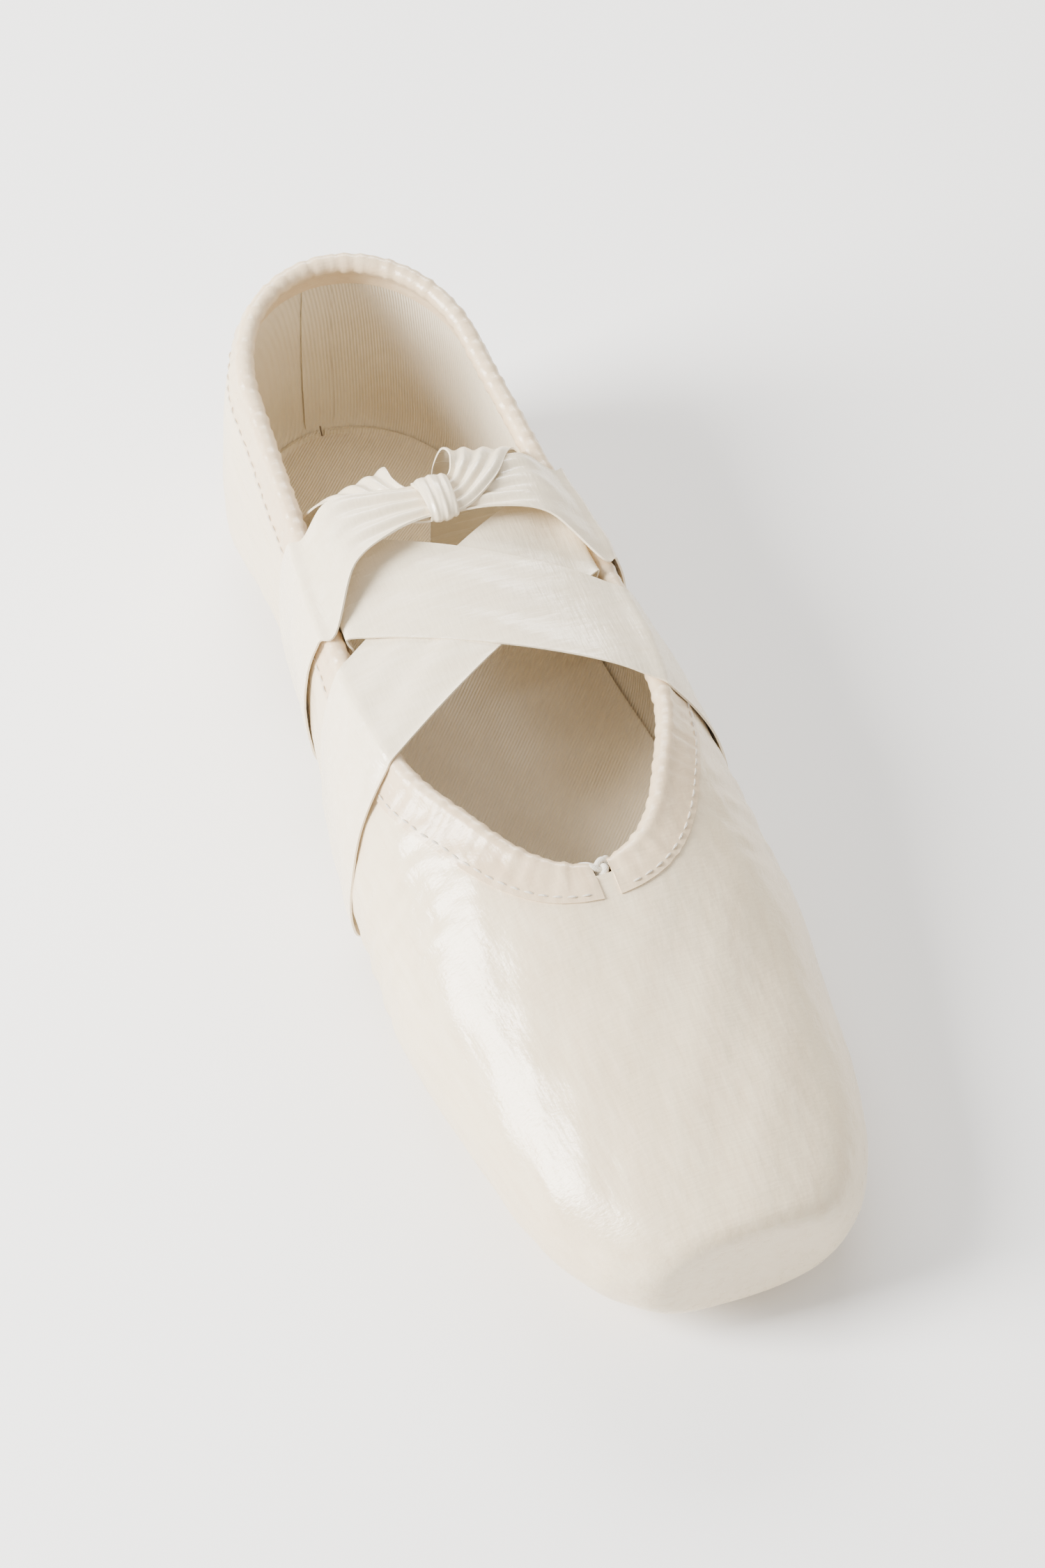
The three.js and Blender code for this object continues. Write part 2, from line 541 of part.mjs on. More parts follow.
function ribbonPoints(start, offset, lift) {
  const points = [];
  const put = (pointAt) => points.push(onRibbon(start, offset, pointAt));
  // Over a binding, at a distance from its middle, by degrees up from the outside.
  const over = (side, reach, turns) => {
    for (const turn of turns) {
      put((u) => {
        const middle = bindingMiddle(u, side);
        middle.x += side * reach * Math.cos(degrees(turn));
        middle.z += reach * Math.sin(degrees(turn));
        return middle;
      });
    }
  };
  const against = CASING_OUTER + CLEARANCE + RIBBON / 2 + 0.15;
  // Sewn inside its own quarter, and up past the binding.
  const inside = (u) => liningInner(u) + LAYER_GAP + RIBBON / 2;
  for (const share of [0.1, 0.35, 0.65]) {
    put((u) => lastPoint(u, share * topAngle(u), inside(u), start, 0));
  }
  over(start, against + 0.3, [195, 165, 140]);
  // Arched over the opening to the other side.
  for (const share of between(0.93, -0.93, 11)) {
    put((u) => {
      const middle = bindingMiddle(u, 1);
      const level = lift * Math.min(1, 4 * (1 - Math.abs(share)));
      const rise = against + RIBBON_ARCH * (1 - share * share) + level;
      return new THREE.Vector3(start * share * middle.x, 0, middle.z + rise);
    });
  }
  over(-start, against, [60, 20]);
  const under = UPPER_LIFT + 2.2 + (lift > 0 ? 0 : RIBBON + 2 * CLEARANCE);
  const wrap = (side, shares) => {
    for (const share of shares) {
      put((u) => {
        const angle = THREE.MathUtils.lerp(-QUARTER_TURN, topAngle(u) - degrees(4), share);
        const low = THREE.MathUtils.smoothstep(-angle, degrees(5), degrees(50));
        return lastPoint(u, angle, -THREE.MathUtils.lerp(RIBBON_STAND, under, low), side, 0);
      });
    }
  };
  const shares = [0, 0.1, 0.2, 0.3, 0.42, 0.55, 0.7, 0.85, 0.96];
  wrap(-start, [...shares].reverse());
  wrap(start, shares.slice(1));
  over(start, against + 1.7, [0, 40, 80]);
  return points;
}

// The free end: gathered through the knot and down into the slipper.
const KNOT_Y = 40;
const KNOT_Z = topline(placeOf(KNOT_Y)) + 12.5;
const KNOT_DEPTH = 6; // along the ribbons
const RIM_REACH = halfWidth(placeOf(KNOT_Y));
const TAIL_WIDTH = 20;
const TAIL_Y = KNOT_Y + 18;
const tailWall = halfWidth(placeOf(TAIL_Y)) - liningInner(placeOf(TAIL_Y));
const TAIL_REACH = tailWall - 5 * CLEARANCE - TAIL_WIDTH / 2; // an end hangs this far from the middle
function ribbonTail(start, share, lift) {
  const back = lift > 0 ? 0.5 : -0.6;
  const inKnot = KNOT_DEPTH / 2 + 1;
  // x towards the ribbon's own side, then y and z from the knot.
  const stops = [
    { at: [0.66 * RIM_REACH, -1, -1.6], width: 17 },
    { at: [0.36 * RIM_REACH, 0, -0.1], width: 12 },
    { at: [inKnot, 0, 0], width: KNOT_WIDTH },
    { at: [-inKnot, 0, 0], width: KNOT_WIDTH },
    { at: [-0.6 * TAIL_REACH, 4.5, back], width: 0.5 * TAIL_WIDTH, turn: 40 },
    { at: [-0.8 * TAIL_REACH, 11, -2], width: 0.65 * TAIL_WIDTH, turn: 70 },
    { at: [-0.9 * TAIL_REACH, 15, -9], width: 0.85 * TAIL_WIDTH, turn: 82 },
    { at: [-0.97 * TAIL_REACH, 17, -18], width: 0.95 * TAIL_WIDTH, turn: 86 },
    { at: [-TAIL_REACH, 18, -28], width: TAIL_WIDTH, turn: 86 },
    { at: [-TAIL_REACH, 18.5, -37], width: TAIL_WIDTH, turn: 86 },
  ];
  return stops.map(({ at: [x, y, z], width, turn = 0 }) => {
    const across = new THREE.Vector3(start * Math.sin(degrees(turn)), Math.cos(degrees(turn)), 0);
    const middle = new THREE.Vector3(start * x, KNOT_Y + y, KNOT_Z + z + lift);
    return middle.addScaledVector(across, width * (share - 0.5));
  });
}

// The closed sheet of a given thickness about a grid of points.
function sheet(grid, thickness) {
  const [m, n] = [grid.length - 1, grid[0].length - 1];
  const shifted = (by) => (s, t) => {
    const [i, j] = [Math.round(s * m), Math.round(t * n)];
    const along = grid[Math.min(i + 1, m)][j].clone().sub(grid[Math.max(i - 1, 0)][j]);
    const across = grid[i][Math.min(j + 1, n)].clone().sub(grid[i][Math.max(j - 1, 0)]);
    return grid[i][j].clone().addScaledVector(along.cross(across).normalize(), by);
  };
  return slab(steps(m), steps(n), shifted(thickness / 2), shifted(-thickness / 2));
}

function ribbon(start, lift) {
  const shares = steps(2);
  const lines = shares.map((share) => [
    ...ribbonPoints(start, (share - 0.5) * RIBBON_WIDTH, lift),
    ...ribbonTail(start, share, lift),
  ]);
  const smooth = lines.map((line) => new THREE.CatmullRomCurve3(line, false, "centripetal"));
  const count = Math.round(1.4 * lines[0].length);
  const grid = steps(count).map((s) => smooth.map((curve) => curve.getPoint(s)));
  return sheet(grid, RIBBON);
}
const RIBBON_LIFT = (RIBBON + CLEARANCE) / 2 + 0.05;
add("ribbon_left", ribbon(-1, RIBBON_LIFT), ribbonSatin);
add("ribbon_right", ribbon(1, -RIBBON_LIFT), ribbonSatin);

function knotTurn() {
  const [halfY, halfZ] = [KNOT_WIDTH / 2 + 2 * CLEARANCE, 1.3];
  const oval = (grow) => (Path, clockwise) => new Path().absellipse(
    0, 0, (halfY + grow) * 1.12, (halfZ + grow) * 1.35, 0, 2 * Math.PI, clockwise,
  );
  const shape = oval(KNOT_BAND)(THREE.Shape, false);
  shape.holes.push(oval(0)(THREE.Path, true));
  const extent = { depth: KNOT_DEPTH, bevelEnabled: false, curveSegments: 10 };
  const band = new THREE.ExtrudeGeometry(shape, extent);
  band.translate(0, 0, -KNOT_DEPTH / 2).rotateX(QUARTER_TURN).rotateZ(QUARTER_TURN);
  return band.translate(0, KNOT_Y, KNOT_Z);
}
add("ribbon_knot_turn", knotTurn(), ribbonSatin);

export default slipper;
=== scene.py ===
# A pointe ballet slipper in ivory satin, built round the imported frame.
# Shapes are worked out in millimetres, and MM makes them metres when a mesh is built.
import math

import bmesh
import bpy
import numpy as np
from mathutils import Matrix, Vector
from mathutils.bvhtree import BVHTree


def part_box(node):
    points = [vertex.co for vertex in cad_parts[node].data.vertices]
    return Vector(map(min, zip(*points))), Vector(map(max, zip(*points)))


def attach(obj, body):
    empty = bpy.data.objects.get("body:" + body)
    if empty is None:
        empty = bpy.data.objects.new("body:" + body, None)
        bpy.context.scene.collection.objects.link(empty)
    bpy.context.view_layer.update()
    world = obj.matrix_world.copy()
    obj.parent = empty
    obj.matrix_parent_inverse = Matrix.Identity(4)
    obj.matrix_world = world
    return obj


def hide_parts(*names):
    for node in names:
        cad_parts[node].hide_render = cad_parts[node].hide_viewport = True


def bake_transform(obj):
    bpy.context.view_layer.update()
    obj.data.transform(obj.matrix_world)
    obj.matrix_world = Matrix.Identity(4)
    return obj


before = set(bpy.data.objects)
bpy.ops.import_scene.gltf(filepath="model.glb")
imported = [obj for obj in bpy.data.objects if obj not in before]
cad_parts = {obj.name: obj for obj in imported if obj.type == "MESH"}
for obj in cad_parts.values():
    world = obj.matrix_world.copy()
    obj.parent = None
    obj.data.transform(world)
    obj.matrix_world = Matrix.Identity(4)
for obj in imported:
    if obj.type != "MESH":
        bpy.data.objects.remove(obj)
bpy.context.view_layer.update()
MM = 0.001


def corner_mm(node):
    """A node's lowest and highest corners, in millimetres."""
    low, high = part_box(node)
    return np.array(low) / MM, np.array(high) / MM


# ---- Sizes in millimetres, taken from the frame or as the frame's model has them ----
VAMP_BOX = corner_mm("vamp_satin")
TOE_Y = VAMP_BOX[0][1]
BALL_WIDTH = VAMP_BOX[1][0] - VAMP_BOX[0][0]
STRIP = 0.6  # thickness of the heel strip
CLEARANCE = 0.3
LAYER_GAP = 0.45
HEEL_Y = corner_mm("heel_strip")[1][1] - STRIP - CLEARANCE
VAMP_LENGTH = 70
PLATFORM_HEIGHT = 22.8
HEEL_ROUND = 32.5
ARCH_RISE = 10.6
SATIN = 0.7  # thickness, as for the layers below
BOX_WALL = 2.5
WING_WALL = 0.6
PLATFORM_BLOCK = 4
LINING = 0.5
OUTSOLE = 1.9
SHANK = 1.8
HALF_SHANK = 1.2
INSOLE = 1.0
SOCK = 0.8
CORD_RADIUS = 0.8
CASING_WALL = 0.8
RIBBON_WIDTH = 22
RIBBON = 0.4  # thickness
RIBBON_STAND = 0.7  # how far the ribbons stand off the sides
RIBBON_Y = 18
RIBBON_TURN = math.radians(29)
RIBBON_ARCH = 5  # how far they rise over the opening
RIBBON_LIFT = 0.45  # one lies this far up, the other down
KNOT_WIDTH = 9
KNOT_Y = 40
KNOT_RISE = 12.5  # from the topline
TAIL_Y = KNOT_Y + 18
TAIL_WIDTH = 20
QUARTER_TURN = math.pi / 2

LAST = HEEL_Y - TOE_Y  # length. Places on it, u, go from the toe's 0 to the heel's 1
FAN_Y = HEEL_Y - HEEL_ROUND  # behind this the last is round
FAN = (FAN_Y - TOE_Y) / LAST
THROAT = VAMP_LENGTH / LAST
SEAM = 0.51  # place of the side seams
SEAM_SLANT = 0.018
UPPER_LIFT = OUTSOLE + LAYER_GAP + CLEARANCE / 2
CASING_OUTER = CORD_RADIUS + CLEARANCE + CASING_WALL
SATIN_EDGE = math.radians(-75)  # where the satin ends under the last
WALL_EDGE = math.radians(-45)
SPLIT_Y = 4.0  # long pieces are parted here, under the ribbons
REAR_FROM = SPLIT_Y - 20  # a piece that starts behind this is only a rear one
FRONT_TO = SPLIT_Y + 6  # a piece that ends in front of this is only a front one


# ---- Shape of the last ----
def through(pairs):
    """A smooth curve through (place, value) pairs that never overshoots them."""
    xs, vs = np.array(pairs, float).T
    rise = np.diff(vs) / np.diff(xs)
    slope = np.zeros(len(xs))
    slope[0], slope[-1] = rise[0], rise[-1]
    a, b = rise[:-1], rise[1:]
    same = a * b > 0
    slope[1:-1][same] = 2 * a[same] * b[same] / (a[same] + b[same])

    def value(x):
        x = np.asarray(x, float)
        i = np.clip(np.searchsorted(xs, x, side="left") - 1, 0, len(xs) - 2)
        width = xs[i + 1] - xs[i]
        t = np.clip((x - xs[i]) / width, 0, 1)
        return (
            (2 * t**3 - 3 * t**2 + 1) * vs[i]
            + (t**3 - 2 * t**2 + t) * width * slope[i]
            + (3 * t**2 - 2 * t**3) * vs[i + 1]
            + (t**3 - t**2) * width * slope[i + 1]
        )

    return value


width_share = through([
    (0, 0.234), (0.03, 0.323), (0.087, 0.405), (0.2, 0.466), (0.31, 0.5),
    (0.44, 0.481), (0.585, 0.418), (0.734, 0.367), (0.862, 0.36), (1, 0.36),
])
arch_share = through([
    (0, 0.28), (0.07, 0.085), (0.14, 0), (0.33, 0), (0.44, 0.25),
    (0.56, 0.72), (0.67, 1), (0.76, 0.8), (0.86, 0.2), (0.93, 0), (1, 0),
])
TOE_BOTTOM = ARCH_RISE * 0.28 + UPPER_LIFT
crown = through([
    (0, TOE_BOTTOM + PLATFORM_HEIGHT), (0.03, TOE_BOTTOM + PLATFORM_HEIGHT + 2.2), (0.1, 34.5),
    (0.2, 39.8), (0.306, 47.3), (0.42, 55), (0.55, 65), (0.68, 77), (0.862, 87), (1, 89),
])
widest = through([(0, 13.6), (0.1, 15), (0.31, 16), (0.6, 17), (1, 18)])
upper_power = through([(0, 2.4), (0.1, 2.3), (0.31, 2.15), (1, 2.2)])
lower_power = through([(0, 2.4), (0.1, 2.9), (0.31, 3.6), (1, 3.8)])
topline = through([
    (THROAT, float(crown(THROAT))), (0.37, 47), (0.455, 45.6), (0.545, 45.5),
    (0.67, 47.5), (0.8, 51), (0.92, 56), (1, 58.5),
])


def floor_at(u):
    return ARCH_RISE * arch_share(u)


def place_of(y):
    return (y - TOE_Y) / LAST


KNOT_Z = float(topline(place_of(KNOT_Y))) + KNOT_RISE


def last_point(u, angle, depth, side):
    """A point of the last: angle -90 degrees is under it, 0 at its widest and 90 on its crown."""
    y = TOE_Y + u * LAST
    fan = np.clip((y - FAN_Y) / HEEL_ROUND, 0, 1)
    middle = floor_at(u) + widest(u)
    across = (BALL_WIDTH * width_share(u) - depth) * np.sqrt(1 - fan * fan)
    up = crown(u) - middle - depth
    down = widest(u) - UPPER_LIFT - depth
    under = angle < 0
    power = np.where(under, 2 / lower_power(u), 2 / upper_power(u))
    out = np.maximum(0, np.cos(angle)) ** power
    high = np.abs(np.sin(angle)) ** power
    x = side * across * out
    back = (HEEL_ROUND - depth) * fan * out
    z = middle + np.where(under, -down, up) * high
    return np.stack(np.broadcast_arrays(x, np.minimum(y, FAN_Y) + back, z), axis=-1)


def top_angle(u):
    u = np.asarray(u, float)
    middle = floor_at(u) + widest(u)
    share = np.clip((topline(u) - middle) / (crown(u) - middle), 0, 1)
    return np.where(u <= THROAT, QUARTER_TURN, np.arcsin(share ** (upper_power(u) / 2)))


box_wall = through([
    (0, BOX_WALL), (0.67 * THROAT, BOX_WALL), (THROAT, (BOX_WALL + WING_WALL) / 3),
    (0.42, WING_WALL), (0.5, WING_WALL),
])
burlap_share = through([(0, 1), (0.9 * THROAT, 1), (1.1 * THROAT, 0), (1, 0)])


def lining_outer(u):
    ply = box_wall(u) / 2
    return SATIN + LAYER_GAP + ply + LAYER_GAP + burlap_share(u) * (ply + LAYER_GAP)


def lining_inner(u):
    return lining_outer(u) + LINING


LINING_FACE = SATIN + LAYER_GAP + BOX_WALL + PLATFORM_BLOCK + 3 * CLEARANCE
SOCK_LOW = UPPER_LIFT + SATIN + HALF_SHANK + SHANK + INSOLE + 4 * CLEARANCE
SOCK_TOP = SOCK_LOW + SOCK


def smoothstep(x, a, b):
    t = np.clip((x - a) / (b - a), 0, 1)
    return t * t * (3 - 2 * t)


def spread(a, b, n):
    return np.linspace(a, b, n + 1)


def run_along(points):
    """The length along a line of points, up to each of them."""
    return np.concatenate([[0], np.cumsum(np.linalg.norm(np.diff(points, axis=0), axis=1))])


def points_at(at, run, points):
    """The points of a line at given lengths along it."""
    return np.stack([np.interp(at, run, points[:, k]) for k in range(3)], axis=-1)


# ---- Meshes ----
WELD = 1e-6  # metres
FINE_WELD = 1e-7


def mesh_object(name, vertices, faces, weld=WELD):
    mesh = bpy.data.meshes.new(name)
    mesh.from_pydata((np.asarray(vertices) * MM).tolist(), [], faces)
    bm = bmesh.new()
    bm.from_mesh(mesh)
    bmesh.ops.remove_doubles(bm, verts=bm.verts, dist=weld)
    bmesh.ops.dissolve_degenerate(bm, edges=bm.edges, dist=FINE_WELD)
    bmesh.ops.recalc_face_normals(bm, faces=bm.faces)
    bm.to_mesh(mesh)
    bm.free()
    piece = bpy.data.objects.new(name, mesh)
    bpy.context.collection.objects.link(piece)
    return piece


def grid_faces(m, n, first=0):
    i, j = np.meshgrid(np.arange(m - 1), np.arange(n - 1), indexing="ij")
    a = first + i * n + j
    return np.stack([a, a + n, a + n + 1, a + 1], axis=-1).reshape(-1, 4).tolist()


def ring_faces(rings, sides, first=0):
    """The faces of a closed tube of rings of points, with its two ends."""
    faces = []
    for k in range(rings - 1):
        for j in range(sides):
            a = first + k * sides + j
            b = first + k * sides + (j + 1) % sides
            faces.append([a, b, b + sides, a + sides])
    faces.append([first + j for j in range(sides)][::-1])
    faces.append([first + (rings - 1) * sides + j for j in range(sides)])
    return faces


def grids_object(name, grids):
    """One mesh of several grids of points, welded where they meet."""
    vertices = []
    faces = []
    for grid in grids:
        faces += grid_faces(grid.shape[0], grid.shape[1], len(vertices))
        vertices += grid.reshape(-1, 3).tolist()
    return mesh_object(name, vertices, faces)


def face_from(piece, height):
    """Turns the normals of an open shell away from a line along the slipper at that height."""
    total = 0.0
    for polygon in piece.data.polygons:
        arm = Vector((polygon.center.x, 0, polygon.center.z - height * MM))
        total += arm.dot(polygon.normal) * polygon.area
    if total < 0:
        piece.data.flip_normals()


def face_along(piece, axis, sign):
    """Turns the normals of an open shell along an axis, 0 to 2, or against it where sign is -1."""
    total = sum(polygon.normal[axis] * polygon.area for polygon in piece.data.polygons)
    if total * sign < 0:
        piece.data.flip_normals()


def apply_modifiers(piece):
    bpy.context.view_layer.update()
    made = piece.evaluated_get(bpy.context.evaluated_depsgraph_get())
    mesh = bpy.data.meshes.new_from_object(made)
    piece.modifiers.clear()
    piece.data = mesh


def thicken(piece, thickness, offset):
    """Offset -1 adds the thickness behind the faces, 1 in front of them, and 0 half and half."""
    solid = piece.modifiers.new("solid", "SOLIDIFY")
    solid.thickness = thickness * MM
    solid.offset = offset
    solid.use_quality_normals = True
    apply_modifiers(piece)


def smooth(piece, degrees=50):
    mesh = piece.data
    mesh.shade_smooth()
    mesh.set_sharp_from_angle(angle=math.radians(degrees))


def dress(piece, material, slot, *nodes):
    piece.data.materials.clear()
    piece.data.materials.append(material)
    if nodes:
        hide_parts(*nodes)


def make_cloth(piece, thickness, offset, material, slot, *nodes):
    """Makes an open shell a smooth layer of cloth."""
    thicken(piece, thickness, offset)
    smooth(piece)
    dress(piece, material, slot, *nodes)


def blend_front(piece):
    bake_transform(piece)


def blend_back(piece):
    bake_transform(piece)


def part_at_split(piece, keep_front):
    bm = bmesh.new()
    bm.from_mesh(piece.data)
    everything = bm.verts[:] + bm.edges[:] + bm.faces[:]
    bmesh.ops.bisect_plane(
        bm, geom=everything, plane_co=(0, SPLIT_Y * MM, 0), plane_no=(0, 1, 0),
        clear_outer=keep_front, clear_inner=not keep_front,
    )
    rim = [edge for edge in bm.edges if edge.is_boundary]
    bmesh.ops.holes_fill(bm, edges=rim, sides=0)
    for edge in rim:
        edge.smooth = False
    bm.to_mesh(piece.data)
    bm.free()


def rear_copy(piece):
    """A copy of a piece for the rear part. Both parts take their names."""
    name = piece.name
    rear = piece.copy()
    rear.data = piece.data.copy()
    bpy.context.collection.objects.link(rear)
    piece.name = name + "_front"
    rear.name = name + "_rear"
    return rear


def bend_along(piece):
    """Parts a piece at the split into a front and a rear part, unless it lies wholly on one side."""
    ys = [vertex.co.y / MM for vertex in piece.data.vertices]
    if min(ys) > REAR_FROM:
        blend_back(piece)
        return
    if max(ys) < FRONT_TO:
        blend_front(piece)
        return
    rear = rear_copy(piece)
    part_at_split(piece, True)
    part_at_split(rear, False)
    blend_front(piece)
    blend_back(rear)


# ---- Materials ----
class Nodes:
    """A short way to write a material's node tree."""

    def __init__(self, name):
        self.material = bpy.data.materials.new(name)
        self.material.use_nodes = True
        self.tree = self.material.node_tree
        self.shader = self.tree.nodes["Principled BSDF"]
        self.place = self.add("ShaderNodeTexCoord").outputs["Object"]

    def add(self, kind, **values):
        node = self.tree.nodes.new(kind)
        for key, value in values.items():
            if hasattr(node, key):
                setattr(node, key, value)
            else:
                node.inputs[key.replace("_", " ")].default_value = value
        return node

    def link(self, output, socket):
        self.tree.links.new(output, socket)

    def scaled(self, scale, turn=(0, 0, 0)):
        mapping = self.add("ShaderNodeMapping", Scale=scale, Rotation=turn)
        self.link(self.place, mapping.inputs["Vector"])
        return mapping.outputs["Vector"]

    def noise(self, scale, detail, stretch=(1, 1, 1)):
        noise = self.add("ShaderNodeTexNoise", Scale=scale, Detail=detail)
        self.link(self.scaled(stretch), noise.inputs["Vector"])
        return noise.outputs["Fac"]

    def wave(self, scale, turn):
        wave = self.add("ShaderNodeTexWave", Scale=scale)
        self.link(self.scaled((1, 1, 1), turn), wave.inputs["Vector"])
        return wave.outputs["Fac"]

    def ramp(self, factor, *stops):
        ramp = self.add("ShaderNodeValToRGB")
        elements = ramp.color_ramp.elements
        while len(elements) < len(stops):
            elements.new(0.5)
        for element, (place, colour) in zip(elements, stops):
            element.position = place
            element.color = (*colour, 1)
        self.link(factor, ramp.inputs["Fac"])
        return ramp.outputs["Color"]

    def math(self, operation, a, b):
        node = self.add("ShaderNodeMath", operation=operation)
        for socket, value in zip(node.inputs, (a, b)):
            if isinstance(value, (int, float)):
                socket.default_value = value
            else:
                self.link(value, socket)
        return node.outputs["Value"]

    def span(self, factor, low, high):
        node = self.add("ShaderNodeMapRange", To_Min=low, To_Max=high)
        self.link(factor, node.inputs["Value"])
        return node.outputs["Result"]

    def bump(self, *heights):
        """Bump layers, each (height, depth in metres, strength)."""
        before = None
        for height, distance, strength in heights:
            bump = self.add("ShaderNodeBump", Distance=distance, Strength=strength)
            self.link(height, bump.inputs["Height"])
            if before:
                self.link(before, bump.inputs["Normal"])
            before = bump.outputs["Normal"]
        self.link(before, self.shader.inputs["Normal"])

    def set(self, **values):
        for key, value in values.items():
            self.shader.inputs[key.replace("_", " ")].default_value = value

    def finish(self, colour, roughness):
        self.link(colour, self.shader.inputs["Base Color"])
        self.link(roughness, self.shader.inputs["Roughness"])
        return self.material


def satin_material(name, light, shade, gloss, along=(1, 0.12, 1)):
    n = Nodes(name)
    broad = n.noise(18, 4)
    slubs = n.noise(520, 3, stretch=along)
    threads = n.noise(1500, 2, stretch=(along[1], along[0], 1))
    wrinkles = n.noise(75, 4, stretch=(1, 0.6, 1))
    mixed = n.math("ADD", n.math("MULTIPLY", broad, 0.5), n.math("MULTIPLY", slubs, 0.5))
    colour = n.ramp(mixed, (0.34, shade), (0.66, light))
    n.bump((threads, 0.00025, 0.3), (slubs, 0.0004, 0.35), (wrinkles, 0.0016, 0.22))
    n.set(Sheen_Weight=0.12, Sheen_Roughness=0.3, Specular_IOR_Level=0.75, Anisotropic=0.5)
    n.set(Sheen_Tint=(1.0, 0.95, 0.86, 1))
    return n.finish(colour, n.span(slubs, gloss - 0.05, gloss + 0.09))


def cotton_material(name, light, shade, scale=520):
    n = Nodes(name)
    blotches = n.noise(30, 5)
    colour = n.ramp(blotches, (0.3, shade), (0.7, light))
    twill = n.wave(scale, (0, 0, math.radians(42)))
    n.bump((twill, 0.0003, 0.5), (n.noise(700, 2), 0.0003, 0.4))
    n.set(Sheen_Weight=0.15, Specular_IOR_Level=0.2)
    return n.finish(colour, n.span(blotches, 0.82, 0.95))


def suede_material():
    n = Nodes("outsole_suede")
    broad = n.noise(35, 6)
    nap = n.noise(900, 5)
    scuffs = n.noise(120, 6, stretch=(1, 0.25, 1))
    mixed = n.math("ADD", n.math("MULTIPLY", broad, 0.5), n.math("MULTIPLY", scuffs, 0.5))
    colour = n.ramp(
        mixed, (0.3, (0.36, 0.26, 0.17)), (0.5, (0.5, 0.38, 0.26)), (0.7, (0.62, 0.5, 0.36)),
    )
    n.bump((nap, 0.0004, 0.7), (scuffs, 0.0006, 0.3))
    n.set(Specular_IOR_Level=0.25, Sheen_Weight=0.2)
    return n.finish(colour, n.span(scuffs, 0.72, 0.9))


def board_material(name, light, shade):
    n = Nodes(name)
    fibres = n.noise(260, 6, stretch=(1, 0.3, 1))
    colour = n.ramp(fibres, (0.3, shade), (0.7, light))
    n.bump((fibres, 0.0004, 0.5), (n.noise(1200, 2), 0.0002, 0.5))
    n.set(Specular_IOR_Level=0.25)
    return n.finish(colour, n.span(fibres, 0.75, 0.92))


def brass_material():
    n = Nodes("tack_brass")
    tarnish = n.noise(900, 4)
    colour = n.ramp(tarnish, (0.35, (0.45, 0.31, 0.14)), (0.7, (0.75, 0.58, 0.3)))
    n.bump((n.noise(3000, 2), 0.00005, 0.3))
    n.set(Metallic=1.0)
    return n.finish(colour, n.span(tarnish, 0.28, 0.5))


def floor_material():
    n = Nodes("pale_floor")
    cloud = n.noise(3, 3)
    colour = n.ramp(cloud, (0.3, (0.93, 0.925, 0.92)), (0.7, (0.95, 0.945, 0.94)))
    return n.finish(colour, n.span(cloud, 0.75, 0.85))


satin = satin_material("ivory_satin", (0.85, 0.72, 0.515), (0.77, 0.625, 0.42), 0.27)
# The binding's satin is darker and browner than the upper's: painted shade for the shadow line in the
# recess along the topline.
shaded_binding_satin = satin_material("shaded_binding_satin", (0.79, 0.63, 0.42), (0.69, 0.52, 0.33), 0.3)
ribbon_satin = satin_material(
    "ribbon_satin", (0.88, 0.775, 0.59), (0.81, 0.69, 0.50), 0.24, along=(0.12, 1, 1),
)
cotton = cotton_material("lining_cotton", (0.80, 0.71, 0.55), (0.69, 0.59, 0.43))
thread = cotton_material("thread", (0.84, 0.77, 0.65), (0.74, 0.66, 0.54), 2200)
cord_cotton = cotton_material("drawstring_cotton", (0.82, 0.76, 0.65), (0.7, 0.63, 0.52), 1500)
canvas = cotton_material("stiffened_canvas", (0.62, 0.52, 0.36), (0.48, 0.39, 0.26), 380)
board = board_material("leatherboard", (0.44, 0.30, 0.19), (0.3, 0.2, 0.12))
suede = suede_material()
brass = brass_material()


# ---- Camera, floor and light ----
def camera(lens, target, azimuth, elevation, distance):
    """The photo's viewing angle. Azimuth 0 looks at the toe, and angles are in radians."""
    data = bpy.data.cameras.new("camera")
    data.lens = lens
    view = bpy.data.objects.new("camera", data)
    bpy.context.collection.objects.link(view)
    arm = Vector((
        math.sin(azimuth) * math.cos(elevation),
        -math.cos(azimuth) * math.cos(elevation),
        math.sin(elevation),
    ))
    view.location = target + arm * distance
    view.rotation_euler = (target - view.location).to_track_quat("-Z", "Y").to_euler()
    bpy.context.scene.camera = view


def area_light(name, place, size, power, colour):
    data = bpy.data.lights.new(name, "AREA")
    data.shape = "RECTANGLE"
    data.size, data.size_y = size
    data.energy = power
    data.color = colour
    light = bpy.data.objects.new(name, data)
    light.location = place
    aim = Vector((0, 0, 0.02)) - Vector(place)
    light.rotation_euler = aim.to_track_quat("-Z", "Y").to_euler()
    bpy.context.collection.objects.link(light)


def studio():
    bpy.ops.mesh.primitive_plane_add(size=8)
    floor = bpy.context.object
    floor.name = "floor"
    floor.data.materials.append(floor_material())
    area_light("window", (-0.85, 0.1, 0.55), (0.35, 0.6), 42, (1.0, 0.985, 0.955))
    area_light("fill", (0.9, -0.5, 0.7), (0.8, 0.8), 2.2, (1.0, 0.88, 0.74))
    area_light("back", (0.25, 0.9, 0.7), (0.9, 0.35), 16, (1.0, 0.985, 0.96))
    world = bpy.data.worlds.new("studio")
    world.use_nodes = True
    sky = world.node_tree.nodes["Background"].inputs
    sky["Color"].default_value = (1.0, 0.99, 0.97, 1)
    sky["Strength"].default_value = 0.8
    bpy.context.scene.world = world


camera(96, Vector((0.0, -0.006, 0.026)), math.radians(-21), math.radians(50), 0.80)
studio()


# ---- Relief of the satin ----
CREASES_Y = -30  # middle of the creases at the ball
PLEATS_Y = TOE_Y + 46  # the pleats under the toe fan out from here
SEAM_FOLD = 0.55  # depth of the satin's turn at the side seam


